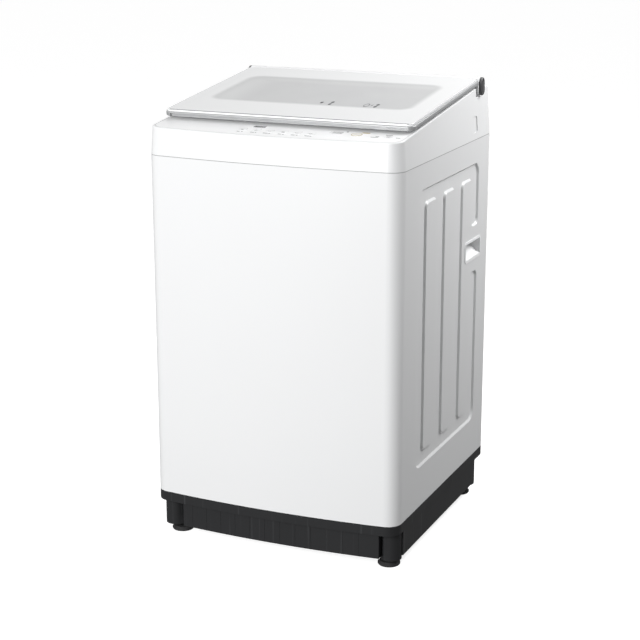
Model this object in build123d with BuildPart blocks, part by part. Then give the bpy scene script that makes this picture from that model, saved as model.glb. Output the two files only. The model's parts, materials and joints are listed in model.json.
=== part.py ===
"""Top load washing machine, one solid or group of solids for every separate piece.

Millimetres, +Z up, front towards -Y, origin on the floor in the middle of the width and the depth.
"""

import os
from math import copysign, cos, radians, sin, sqrt, tan

from build123d import *

os.makedirs("parts", exist_ok=True)

# Cabinet
CABINET_WIDTH = 540.0
CABINET_DEPTH = 540.0  # rear face to the ends of the bowed front
CABINET_HEIGHT = 708.5
CABINET_BOTTOM = 100.5  # above the floor
FRONT_BOW = 16.0
FRONT_CORNER_R = 30.0
REAR_CORNER_R = 12.0
SHEET = 1.0
CABINET_FLANGE = 18.0  # turned in at the top and the bottom
REAR_FLANGE = 35.0  # turned in beside the rear opening

# Pressed field in each side, with ribs left standing in it
FIELD_REARWARD = 12.5  # of the middle of the depth
FIELD_END_MARGIN = 87.5
FIELD_LOW_MARGIN = 85.0
FIELD_TOP_MARGIN = 51.0
FIELD_R = 25.0
PRESS_DEPTH = 4.0
PRESS_ANGLE = 45.0
RIB_WIDTH = 58.0
RIB_END_MARGIN = 32.0
RIB_R = 10.0
LAND_HEIGHT = 99.0  # flat part round the hand grip
CHANNEL_END_R = 14.0

# Hand grips
GRIP_FROM_REAR = 106.0
GRIP_DROP = 235.0  # below the seam
GRIP_LENGTH = 96.0
GRIP_HEIGHT = 40.0
GRIP_R = 6.0
GRIP_DEPTH = 30.0
GRIP_LIP = 3.0
GRIP_RIM = 1.2
GRIP_WALL = 2.0

# Rear cover and its screws
COVER_LAP = 14.0  # under each rear flange
REAR_FIELD_MARGIN = 42.0
REAR_PRESS = 3.0
SCREW_R = 2.0
SCREW_LENGTH = 8.0
SCREW_HEAD_R = 4.2
SCREW_HEAD_H = 2.2
SCREW_MARGIN = 60.0
GLAND_INSET = 100.0
GLAND_Z = 150.0
GLAND_R = 9.0
GLAND_BORE_R = 4.0

# Base and feet
BASE_WALL = 3.0
RIM_HEIGHT = 20.5
SKIRT_BOTTOM = 26.0
SKIRT_SIDE_INSET = 2.0
SKIRT_END_INSET = 11.0
LEDGE = 45.0
SKIRT_RIB_PITCH = 34.0
SKIRT_RIB_COUNT = 12
SKIRT_RIB_WIDTH = 1.2
SKIRT_RIB_PROUD = 0.5
NICHE_SIDE = 26.5  # from a foot to the niche's inner wall
NICHE_SIDE_NEAR = 5.5  # the same at the front right foot, where the skirt runs on past the boss
NICHE_END = 8.0  # from a foot to the niche's rear wall
FOOT_SIDE_INSET = 35.0
FOOT_FRONT_INSET = 51.1
FOOT_REAR_INSET = 54.9
BOSS_R = 21.5
BOSS_SPREAD_X = 9.0  # each boss widens towards its corner
BOSS_SPREAD_Y = 12.0
BOSS_BOTTOM = 19.0
PAD_R = 23.0
PAD_HEIGHT = 10.5
STUD_R = 5.0
STUD_TOP = 56.0
BORE_TOP = 72.0
NUT_R = 9.0
NUT_HEIGHT = 5.5

# Top cover
COVER_WALL = 3.0
COVER_DECK = 5.5
COVER_DRAFT = 4.0
COVER_FRONT_HEIGHT = 55.0
COVER_EDGE_R = 3.0
TILT = 6.2  # the deck and the lid rise towards the rear
OPENING_SIDE_MARGIN = 55.0
OPENING_END_MARGIN = 107.0
OPENING_REARWARD = 3.0
OPENING_R = 105.0
THROAT_DRAFT = 13.0  # each end of the opening draws in by this much
THROAT_OVER = 2.0  # wider than the balance ring
THROAT_FLAT = 50.0  # straight part between the rounded corners of each side
THROAT_DROP = 8.0
PLUG_FROM_REAR = 101.9
PLUG_RISE = 31.0  # above the seam
PLUG_LENGTH = 28.0
PLUG_HEIGHT = 34.0
PLUG_SINK = 1.5

# Control panel
FASCIA_EDGE = 4.0
FASCIA_T = 2.5
FASCIA_V = 92.0
KEY_X = -70.0
KEY_PITCH = 29.0
KEY_V = 25.0
KEY_WIDTH = 17.0
KEY_LENGTH = 9.0
KEY_PROUD = 0.6
KEY_TRAVEL = 1.2
KEY_COLLAR = 1.2
KEY_STEM_R = 2.2
KEY_STEM = 6.0
START_INSET = 108.0
START_V = 44.0
START_R = 9.0
POWER_INSET = 42.0
POWER_V = 40.0
POWER_R = 7.5
DISPLAY_X = -46.0
DISPLAY_V = 54.0
DISPLAY_WIDTH = 26.0
DISPLAY_LENGTH = 11.0
BOARD_SIDE_INSET = 23.0
BOARD_OVERHANG = 19.0  # past the first key
BOARD_V = 38.0
BOARD_LENGTH = 52.0
BOARD_T = 1.6
SWITCH_HEIGHT = 3.0

# Lid
LID_FRONT_V = 70.0
LID_SIDE_INSET = 3.0
LID_GAP = 4.0
TRIM_T = 11.0
TRIM_WIDTH = 14.0
TRIM_CORNER_R = 14.0
TRIM_SOLE_R = 4.5
TRIM_GRIP_HEIGHT = 6.5  # finger groove along the lid's front edge
TRIM_GRIP_DEPTH = 5.0
GLASS_T = 4.0
GLASS_MARGIN = 3.5
GLASS_R = 11.0
WINDOW_SIDE_MARGIN = 49.0
WINDOW_END_MARGIN = 163.0
WINDOW_REARWARD = 10.0
WINDOW_R = 28.0
HINGE_FROM_REAR = 62.0
BARREL_GAP = 1.5
EAR_INSET = 61.0
EAR_WIDTH = 24.0
EAR_R = 12.0
EAR_CLEAR = 3.0
PIN_R = 4.0
PIN_REACH = 22.0
CAP_T = 5.5
CAP_WIDTH = 23.0
CAP_PROUD = 4.2  # past the side of the lid
BUMPER_INSET = 31.0
BUMPER_V = 112.0
BUMPER_R = 5.0

# Strip that closes the cover behind the hinge
STRIP_CLEAR = 3.0  # behind the hinge barrel
STRIP_BELOW = 4.0  # below the hinge axis
STRIP_EDGE_R = 2.5

# Dispenser, inlet and lid switch
DISPENSER_X = 40.0
DISPENSER_WIDTH = 120.0
DISPENSER_UNDER = 5.62  # below the rear deck
DISPENSER_HEIGHT = 42.0
DISPENSER_FROM_REAR = 15.9
DISPENSER_DEPTH = 112.0
DISPENSER_WALL = 2.0
DRAWER_CLEAR = 0.6
DRAWER_FACE = 5.0
DRAWER_FACE_LIP = 4.0
INLET_BESIDE = 115.0  # to the left of the dispenser's middle
INLET_RISE = 16.0  # above the dispenser's floor
INLET_RELIEF = 0.8
INLET_UNDERCUT = 0.5
INLET_SUNK = 4.0
INLET_R = 13.2
INLET_BORE_R = 8.0
INLET_POCKET_R = 26.0
INLET_POCKET_DEPTH = 24.0
INLET_BODY = 44.0
NOZZLE_R = 8.0
SWITCH_INSET = 30.0
SWITCH_FORWARD = 20.0  # of the middle of the depth

# Suspension
ROD_X = 208.0
ROD_Y = 205.0
ROD_R = 4.0
ROD_HEAD_R = 11.0
BRACKET_T = 2.5
BRACKET_REACH = 350.0
LUG_BOTTOM = 330.0
LUG_T = 16.0
LUG_R = 27.0
CUP_R = 24.0
CUP_WALL = 2.0
CUP_HEIGHT = 95.0
PISTON_R = 20.0
PISTON_T = 6.0
PISTON_DROP = 76.0  # below the lug
SPRING_R = 14.0
WIRE_R = 1.7
SPRING_TURNS = 5
SPRING_STEPS = 10

# Tub, basket and pulsator
DRUM_Y = 5.0
TUB_R = 236.0
TUB_WALL = 3.0
TUB_BOTTOM = 262.0
TUB_UNDER = 44.0  # below the seam
TUB_FLOOR = 4.0
HUB_R = 42.0
HUB_HEIGHT = 22.0
TUB_RING_R = 201.0
TUB_RING_T = 4.0
BASKET_R = 214.0
BASKET_SHEET = 1.0
BASKET_RIM = 18.0
BASKET_UNDER = 50.0  # below the tub's edge
BASKET_FLOOR = 6.0
HOLE_R = 4.0
HOLE_COLUMNS = 20
HOLE_ROWS = 5
HOLE_MARGIN = 60.0  # from the wall's edges
BALANCE_HEIGHT = 42.0
BALANCE_IN_R = 184.0
BALANCE_OUT_R = 222.0
FLANGE_R = 100.0
FLANGE_T = 8.0
FILTER_T = 12.0
FILTER_UNDER = 45.0  # below the basket's edge
FILTER_HEIGHT = 150.0
FILTER_ARC = 22.0
PULSATOR_R = 168.0
PULSATOR_GAP = 3.0
PULSATOR_BLADES = 4
BLADE_WIDTH = 20.0

# Drive
SPIN_SHAFT_R = 17.0
WASH_SHAFT_R = 9.0
RUNNING_FIT = 0.06
BEARING_R = 31.0
BEARING_H = 14.0
SEAL_H = 7.0
PLATE_T = 3.0
CASE_R = 68.0
CASE_FLANGE_R = 86.0
CASE_FLANGE_T = 6.0
CASE_HEIGHT = 81.0
MOTOR_X = 146.0
MOTOR_Y = -66.0
MOTOR_R = 58.0
MOTOR_HEIGHT = 92.0
MOTOR_SHAFT_R = 6.0
BELT_Z = 149.0
BELT_T = 8.0
BELT_H = 9.0
PULLEY_T = 18.0
GEAR_PULLEY_R = 68.0
MOTOR_PULLEY_R = 24.0
GROOVE = 10.0
BELT_CLEAR = 0.4
STUB_R = 10.0

# Drain
DRAIN_X = -110.0
DRAIN_FROM_WALL = 86.0  # forward of the tub's rear wall
DRAIN_R = 16.0
DRAIN_PORT = 18.0
VALVE_R = 26.0
VALVE_TOP = 96.0
VALVE_NECK = 16.0
SPIGOT_R = 14.0
SPIGOT_RELIEF = 1.5
SPIGOT_Z = 54.0
TUBE_WALL = 2.5

# Clearances
FIT = 0.2
SLIDE = 0.3

# Places worked out from the sizes above
HALF_WIDTH = CABINET_WIDTH / 2
SEAM_Z = CABINET_BOTTOM + CABINET_HEIGHT
MIDDLE_V = CABINET_DEPTH / 2
REAR_Y = (CABINET_DEPTH + FRONT_BOW + SCREW_HEAD_H) / 2 - SCREW_HEAD_H
CORNER_Y = REAR_Y - CABINET_DEPTH
MIDDLE_Y = (REAR_Y + CORNER_Y) / 2
FIELD_Y = MIDDLE_Y + FIELD_REARWARD
FIELD_LENGTH = CABINET_DEPTH - 2 * FIELD_END_MARGIN
FIELD_BOTTOM = CABINET_BOTTOM + FIELD_LOW_MARGIN
FIELD_HEIGHT = CABINET_HEIGHT - FIELD_LOW_MARGIN - FIELD_TOP_MARGIN
RIB_PITCH = 0.3 * FIELD_LENGTH
RIB_LENGTH = FIELD_HEIGHT - 2 * RIB_END_MARGIN
GRIP_Y = REAR_Y - GRIP_FROM_REAR
GRIP_Z = SEAM_Z - GRIP_DROP
GLAND_X = HALF_WIDTH - GLAND_INSET
FOOT_X = HALF_WIDTH - FOOT_SIDE_INSET
FOOT_FRONT_Y = CORNER_Y + FOOT_FRONT_INSET
FOOT_REAR_Y = REAR_Y - FOOT_REAR_INSET
BOW_R = (HALF_WIDTH**2 + FRONT_BOW**2) / (2 * FRONT_BOW)
BOW_CENTRE_Y = CORNER_Y - FRONT_BOW + BOW_R
RIM_BOTTOM = CABINET_BOTTOM - RIM_HEIGHT
TILT_SIN = sin(radians(TILT))
TILT_COS = cos(radians(TILT))
DECK = Plane(
    origin=(0, CORNER_Y, SEAM_Z + COVER_FRONT_HEIGHT),
    x_dir=(1, 0, 0),
    z_dir=(0, -TILT_SIN, TILT_COS),
)
OPENING_WIDTH = CABINET_WIDTH - 2 * OPENING_SIDE_MARGIN
OPENING_LENGTH = CABINET_DEPTH - 2 * OPENING_END_MARGIN
OPENING_V = MIDDLE_V + OPENING_REARWARD
THROAT_WIDTH = 2 * (BALANCE_IN_R + THROAT_OVER)
THROAT_LENGTH = OPENING_LENGTH - 2 * THROAT_DRAFT
THROAT_R = (THROAT_LENGTH - THROAT_FLAT) / 2
PLUG_Y = REAR_Y - PLUG_FROM_REAR
PLUG_Z = SEAM_Z + PLUG_RISE
START_X = HALF_WIDTH - START_INSET
POWER_X = HALF_WIDTH - POWER_INSET
BOARD_WIDTH = HALF_WIDTH - BOARD_SIDE_INSET - KEY_X + BOARD_OVERHANG
BOARD_X = HALF_WIDTH - BOARD_SIDE_INSET - BOARD_WIDTH / 2
LID_WIDTH = CABINET_WIDTH - 2 * LID_SIDE_INSET
WINDOW_WIDTH = LID_WIDTH - 2 * WINDOW_SIDE_MARGIN
WINDOW_LENGTH = CABINET_DEPTH - 2 * WINDOW_END_MARGIN
WINDOW_V = MIDDLE_V + WINDOW_REARWARD
HINGE_V = CABINET_DEPTH - HINGE_FROM_REAR
EAR_X = LID_WIDTH / 2 - EAR_INSET
BUMPER_X = LID_WIDTH / 2 - BUMPER_INSET
SWITCH_X = SWITCH_INSET - HALF_WIDTH
SWITCH_V = MIDDLE_V - SWITCH_FORWARD
BARREL_R = LID_GAP + TRIM_T + GLASS_T
HINGE_Y = CORNER_Y + HINGE_V * TILT_COS
HINGE_Z = SEAM_Z + COVER_FRONT_HEIGHT + HINGE_V * TILT_SIN
REAR_DECK_Z = HINGE_Z - BARREL_R - BARREL_GAP
REAR_STEP_Y = HINGE_Y - BARREL_R - 5.0
STRIP_Y = HINGE_Y + BARREL_R + STRIP_CLEAR
STRIP_TOP = HINGE_Z - STRIP_BELOW
GLASS_END_V = HINGE_V - sqrt(BARREL_R**2 - (LID_GAP + TRIM_T) ** 2) - 0.5
TRIM_END_V = HINGE_V - BARREL_R - 0.5
FRAME_HALF = LID_WIDTH / 2 - TRIM_WIDTH - FIT
BARREL_HALF = LID_WIDTH / 2 + CAP_PROUD - CAP_T
BOARD_TOP = -(COVER_DECK + SLIDE + KEY_COLLAR + KEY_STEM + KEY_TRAVEL + SLIDE + SWITCH_HEIGHT)
HUB_TOP = TUB_BOTTOM + HUB_HEIGHT
FLANGE_TOP = HUB_TOP + 16.0
BASKET_BOTTOM = FLANGE_TOP + BASKET_FLOOR
PULSATOR_BOTTOM = BASKET_BOTTOM + PULSATOR_GAP
PLATE_BOTTOM = TUB_BOTTOM - PLATE_T
CASE_BOTTOM = PLATE_BOTTOM - CASE_HEIGHT
SPIN_SHAFT_BOTTOM = CASE_BOTTOM + 40.0
BELT_BOTTOM = BELT_Z - PULLEY_T / 2
PISTON_TOP = LUG_BOTTOM - PISTON_DROP
DISPENSER_BOTTOM = REAR_DECK_Z - COVER_DECK - DISPENSER_UNDER - DISPENSER_HEIGHT
DISPENSER_FRONT_Y = REAR_Y - DISPENSER_FROM_REAR - DISPENSER_DEPTH
INLET_X = DISPENSER_X - INLET_BESIDE
INLET_Z = DISPENSER_BOTTOM + INLET_RISE
TUB_TOP = SEAM_Z - TUB_UNDER
BASKET_TOP = TUB_TOP - BASKET_UNDER
FILTER_BOTTOM = BASKET_TOP - FILTER_UNDER - FILTER_HEIGHT
DRAIN_Y = DRUM_Y + TUB_R - DRAIN_FROM_WALL
DRUM_AXIS = Axis((0, DRUM_Y, 0), (0, 0, 1))
DRUM_SECTION = Plane(origin=(0, DRUM_Y, 0), x_dir=(1, 0, 0), z_dir=(0, -1, 0))
RIGHT_SIDE = Plane(origin=(HALF_WIDTH, 0, 0), x_dir=(0, 1, 0), z_dir=(1, 0, 0))
REAR_FACE = Plane(origin=(0, REAR_Y, 0), x_dir=(-1, 0, 0), z_dir=(0, 1, 0))
FEET_FRONT = [(-FOOT_X, FOOT_FRONT_Y), (FOOT_X, FOOT_FRONT_Y)]
FEET_REAR = [(-FOOT_X, FOOT_REAR_Y), (FOOT_X, FOOT_REAR_Y)]
RODS = [(x, DRUM_Y + y) for x in (-ROD_X, ROD_X) for y in (-ROD_Y, ROD_Y)]
KEY_PLACES = [(KEY_X + KEY_PITCH * i, KEY_V) for i in range(6)]
SCREW_X = HALF_WIDTH - REAR_FLANGE + COVER_LAP / 2
SCREW_Z = [CABINET_BOTTOM + SCREW_MARGIN, CABINET_BOTTOM + CABINET_HEIGHT / 2, SEAM_Z - SCREW_MARGIN]


def front_y(x, inset=0.0):
    """Y of the bowed front at x, moved inwards by inset."""
    return BOW_CENTRE_Y - sqrt((BOW_R - inset) ** 2 - x**2)


def footprint(z, inset=0.0, end_inset=None):
    """Outline of the cabinet seen from above at height z, moved inwards."""
    ends = inset if end_inset is None else end_inset
    half = HALF_WIDTH - inset
    tip = front_y(half, ends)
    with BuildSketch(Plane.XY.offset(z)) as outline:
        with BuildLine():
            ThreePointArc((-half, tip), (0, front_y(0, ends)), (half, tip))
            Polyline((half, tip), (half, REAR_Y - ends), (-half, REAR_Y - ends), (-half, tip))
        make_face()
        fillet(outline.vertices().sort_by(Axis.Y)[:2], max(FRONT_CORNER_R - inset, 1.0))
        fillet(outline.vertices().sort_by(Axis.Y)[-2:], max(REAR_CORNER_R - inset, 1.0))
    return outline.sketch


def side_field(grow):
    """Pressed field of the right side: a rounded field less the ribs and the land of the grip."""
    with BuildSketch(RIGHT_SIDE) as field:
        with Locations((FIELD_Y, FIELD_BOTTOM + FIELD_HEIGHT / 2)):
            RectangleRounded(FIELD_LENGTH, FIELD_HEIGHT, FIELD_R)
        rib_z = FIELD_BOTTOM + FIELD_HEIGHT / 2
        with Locations([(FIELD_Y + RIB_PITCH * step, rib_z) for step in (-1, 0, 1)]):
            RectangleRounded(RIB_WIDTH, RIB_LENGTH, RIB_R, mode=Mode.SUBTRACT)
        with Locations((FIELD_Y + RIB_PITCH + FIELD_LENGTH / 2, GRIP_Z)):
            Rectangle(FIELD_LENGTH, LAND_HEIGHT, mode=Mode.SUBTRACT)
        ends = field.vertices().filter_by(lambda v: abs(abs(v.Y - GRIP_Z) - LAND_HEIGHT / 2) < 0.01)
        fillet(ends, CHANNEL_END_R)
        if grow:
            offset(amount=grow)
    return field.sketch


def cover_blank(inset, drop):
    """Outside of the top cover moved inwards by inset, with its deck lowered by drop."""
    with BuildPart(mode=Mode.PRIVATE) as blank:
        extrude(footprint(SEAM_Z, inset), amount=CABINET_HEIGHT / 4, taper=COVER_DRAFT)
        split(bisect_by=DECK.offset(-drop), keep=Keep.BOTTOM)
        with BuildSketch(Plane.XY.offset(REAR_DECK_Z - drop)):
            with Locations((0, REAR_STEP_Y - drop + CABINET_DEPTH / 2)):
                Rectangle(CABINET_WIDTH + 20, CABINET_DEPTH)
        extrude(amount=CABINET_HEIGHT, mode=Mode.SUBTRACT)
    return blank.part


def funnel(grow, overrun):
    """Solid of the wash opening, from the deck down to the throat."""
    with BuildPart(mode=Mode.PRIVATE) as tube:
        with BuildSketch(DECK.offset(overrun)):
            with Locations((0, OPENING_V)):
                RectangleRounded(OPENING_WIDTH + 2 * grow, OPENING_LENGTH + 2 * grow, OPENING_R + grow)
        with BuildSketch(Plane.XY.offset(SEAM_Z - THROAT_DROP - overrun)):
            with Locations((0, DRUM_Y)):
                RectangleRounded(THROAT_WIDTH + 2 * grow, THROAT_LENGTH + 2 * grow, THROAT_R + grow)
        loft(ruled=True)
    return tube.part


def fascia_slab(edge, end_v):
    """Slab of the control panel, lying in the top of the cover's deck."""
    across = Plane(origin=DECK.from_local_coords((0, end_v, 0)), x_dir=(1, 0, 0), z_dir=DECK.y_dir)
    with BuildPart(mode=Mode.PRIVATE) as slab:
        add(cover_blank(edge, 0.0))
        split(bisect_by=DECK.offset(-FASCIA_T), keep=Keep.TOP)
        split(bisect_by=across, keep=Keep.BOTTOM)
    return slab.part


def key_openings(plane, clear):
    """Openings for all the keys, drawn on a plane parallel to the deck."""
    with BuildSketch(plane) as openings:
        with Locations(KEY_PLACES):
            RectangleRounded(KEY_WIDTH + 2 * clear, KEY_LENGTH + 2 * clear, 3.0)
        with Locations((START_X, START_V)):
            Circle(START_R + clear)
        with Locations((POWER_X, POWER_V)):
            Circle(POWER_R + clear)
    return openings.sketch


def turned(points, section=DRUM_SECTION):
    """Face with straight edges in an upright half section, radius first and height second."""
    with BuildSketch(section) as face:
        with BuildLine():
            Polyline(*points, close=True)
        make_face()
    return face.sketch


# Tools for the pressed sides
with BuildPart() as field_backing:
    backing_grow = SHEET / cos(radians(PRESS_ANGLE))
    extrude(side_field(backing_grow), amount=-(PRESS_DEPTH + SHEET), taper=PRESS_ANGLE)

with BuildPart() as field_hollow:
    extrude(side_field(0), amount=-PRESS_DEPTH, taper=PRESS_ANGLE)

with BuildPart() as grip_hole:
    with BuildSketch(RIGHT_SIDE.offset(-PRESS_DEPTH)):
        with Locations((GRIP_Y, GRIP_Z)):
            RectangleRounded(GRIP_LENGTH, GRIP_HEIGHT, FIT * 2)
    extrude(amount=2 * PRESS_DEPTH)

# Cabinet wrap: front and both sides of one sheet
with BuildPart() as cabinet_wrap:
    extrude(footprint(CABINET_BOTTOM), amount=CABINET_HEIGHT)
    inside = footprint(CABINET_BOTTOM + SHEET, SHEET)
    extrude(inside, amount=CABINET_HEIGHT - 2 * SHEET, mode=Mode.SUBTRACT)
    extrude(footprint(CABINET_BOTTOM, CABINET_FLANGE), amount=CABINET_HEIGHT, mode=Mode.SUBTRACT)
    with BuildSketch(Plane.XY.offset(CABINET_BOTTOM)):
        with Locations((0, REAR_Y)):
            Rectangle(CABINET_WIDTH - 2 * REAR_FLANGE, 2 * CABINET_FLANGE + 2)
    extrude(amount=CABINET_HEIGHT, mode=Mode.SUBTRACT)
    add(field_backing.part)
    add(mirror(field_backing.part, about=Plane.YZ))
    for tool in (field_hollow.part, grip_hole.part):
        add(tool, mode=Mode.SUBTRACT)
        add(mirror(tool, about=Plane.YZ), mode=Mode.SUBTRACT)
    with BuildSketch(REAR_FACE):
        with Locations([(x, z) for x in (-SCREW_X, SCREW_X) for z in SCREW_Z]):
            Circle(SCREW_R + FIT)
    extrude(amount=-2 * SHEET, mode=Mode.SUBTRACT)
cabinet_wrap.part.label = "cabinet_wrap"
export_step(cabinet_wrap.part, "parts/cabinet_wrap.step")

# Rear cover behind the flanges, with a shallow pressed field
with BuildPart() as rear_cover:
    cover_half = HALF_WIDTH - REAR_FLANGE + COVER_LAP
    with BuildSketch(REAR_FACE.offset(-SHEET)):
        with Locations((0, CABINET_BOTTOM + CABINET_HEIGHT / 2)):
            Rectangle(2 * cover_half, CABINET_HEIGHT - 2 * SHEET - 1.0)
    extrude(amount=-SHEET)
    field_width = 2 * (HALF_WIDTH - REAR_FLANGE - REAR_FIELD_MARGIN)
    field_height = CABINET_HEIGHT - 4 * REAR_FIELD_MARGIN
    with BuildSketch(REAR_FACE.offset(-SHEET)):
        with Locations((0, CABINET_BOTTOM + CABINET_HEIGHT / 2)):
            RectangleRounded(field_width + 2 * backing_grow, field_height + 2 * backing_grow, FIELD_R)
    extrude(amount=-(REAR_PRESS + SHEET), taper=PRESS_ANGLE)
    with BuildSketch(REAR_FACE.offset(-SHEET)):
        with Locations((0, CABINET_BOTTOM + CABINET_HEIGHT / 2)):
            RectangleRounded(field_width, field_height, FIELD_R - 2.0)
    extrude(amount=-REAR_PRESS, taper=PRESS_ANGLE, mode=Mode.SUBTRACT)
    with BuildSketch(REAR_FACE):
        with Locations([(x, z) for x in (-SCREW_X, SCREW_X) for z in SCREW_Z]):
            Circle(SCREW_R + FIT)
        with Locations((GLAND_X, GLAND_Z)):
            Circle(GLAND_R + FIT)
    extrude(amount=-4 * SHEET, mode=Mode.SUBTRACT)
rear_cover.part.label = "rear_cover"
export_step(rear_cover.part, "parts/rear_cover.step")

with BuildPart() as rear_screws:
    with BuildSketch(REAR_FACE):
        with Locations([(x, z) for x in (-SCREW_X, SCREW_X) for z in SCREW_Z]):
            Circle(SCREW_HEAD_R)
    extrude(amount=SCREW_HEAD_H, taper=15)
    with BuildSketch(REAR_FACE):
        with Locations([(x, z) for x in (-SCREW_X, SCREW_X) for z in SCREW_Z]):
            Circle(SCREW_R)
    extrude(amount=-SCREW_LENGTH)
    with BuildSketch(REAR_FACE.offset(SCREW_HEAD_H)):
        with Locations([(x, z) for x in (-SCREW_X, SCREW_X) for z in SCREW_Z]):
            Rectangle(4.0, 1.0)
            Rectangle(1.0, 4.0)
    extrude(amount=-1.0, mode=Mode.SUBTRACT)
rear_screws.part.label = "rear_screws"
export_step(rear_screws.part, "parts/rear_screws.step")

with BuildPart() as cord_gland:
    with BuildSketch(REAR_FACE.offset(-SHEET)):
        with Locations((GLAND_X, GLAND_Z)):
            Circle(GLAND_R + 4.0)
    extrude(amount=2.5, taper=10)
    with BuildSketch(REAR_FACE.offset(-SHEET)):
        with Locations((GLAND_X, GLAND_Z)):
            Circle(GLAND_R)
    extrude(amount=-12.0)
    with BuildSketch(REAR_FACE.offset(SCREW_HEAD_H)):
        with Locations((GLAND_X, GLAND_Z)):
            Circle(GLAND_BORE_R)
    extrude(amount=-20.0, mode=Mode.SUBTRACT)
cord_gland.part.label = "cord_gland"
export_step(cord_gland.part, "parts/cord_gland.step")

# Hand grips: a scoop with a sloping floor and a thin rim outside
with BuildPart() as grip_right:
    scoop = Plane(origin=(HALF_WIDTH, GRIP_Y, GRIP_Z), x_dir=(1, 0, 0), z_dir=(0, -1, 0))
    top = GRIP_HEIGHT / 2 - FIT
    with BuildSketch(scoop):
        with BuildLine():
            Polyline((0, -top), (0, top), (-GRIP_DEPTH, top), (-GRIP_DEPTH, top - 16.0), close=True)
        make_face()
    extrude(amount=GRIP_LENGTH / 2 - FIT, both=True)
    with BuildSketch(RIGHT_SIDE):
        with Locations((GRIP_Y, GRIP_Z)):
            RectangleRounded(GRIP_LENGTH + 2 * GRIP_LIP, GRIP_HEIGHT + 2 * GRIP_LIP, GRIP_R + GRIP_LIP)
    extrude(amount=GRIP_RIM)
    with BuildSketch(scoop):
        with BuildLine():
            Polyline(
                (GRIP_RIM, -top + GRIP_WALL + 1.5),
                (GRIP_RIM, top - GRIP_WALL),
                (-GRIP_DEPTH + GRIP_WALL, top - GRIP_WALL),
                (-GRIP_DEPTH + GRIP_WALL, top - 16.0 + GRIP_WALL),
                (0, -top + GRIP_WALL + 1.5),
                close=True,
            )
        make_face()
    extrude(amount=GRIP_LENGTH / 2 - GRIP_WALL, both=True, mode=Mode.SUBTRACT)
grip_right.part.label = "grip_right"
export_step(grip_right.part, "parts/grip_right.step")

with BuildPart() as grip_left:
    add(mirror(grip_right.part, about=Plane.YZ))
grip_left.part.label = "grip_left"
export_step(grip_left.part, "parts/grip_left.step")

# Base: rim, inset skirt with ribs, corner bosses in niches and a shelf for the drain valve
def corner_niches(grow):
    """Outlines of the four corners of the skirt that are cut away round the feet."""
    reach = 4 * BOSS_R
    with BuildSketch(Plane.XY.offset(SKIRT_BOTTOM)) as corners:
        for foot_x, foot_y in FEET_FRONT + FEET_REAR:
            near = (foot_x, foot_y) == FEET_FRONT[-1]
            niche_x = foot_x + copysign(reach - (NICHE_SIDE_NEAR if near else NICHE_SIDE), foot_x)
            niche_y = foot_y + copysign(reach + NICHE_END, foot_y)
            with Locations((niche_x, niche_y)):
                Rectangle(2 * (reach + grow), 2 * (reach + grow))
    return corners.sketch


with BuildPart() as niche_walls:
    extrude(footprint(SKIRT_BOTTOM, SKIRT_SIDE_INSET, SKIRT_END_INSET), amount=RIM_BOTTOM - SKIRT_BOTTOM)
    extrude(corner_niches(BASE_WALL), amount=RIM_BOTTOM - SKIRT_BOTTOM, mode=Mode.INTERSECT)
    extrude(corner_niches(0.0), amount=RIM_BOTTOM - SKIRT_BOTTOM, mode=Mode.SUBTRACT)

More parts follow.
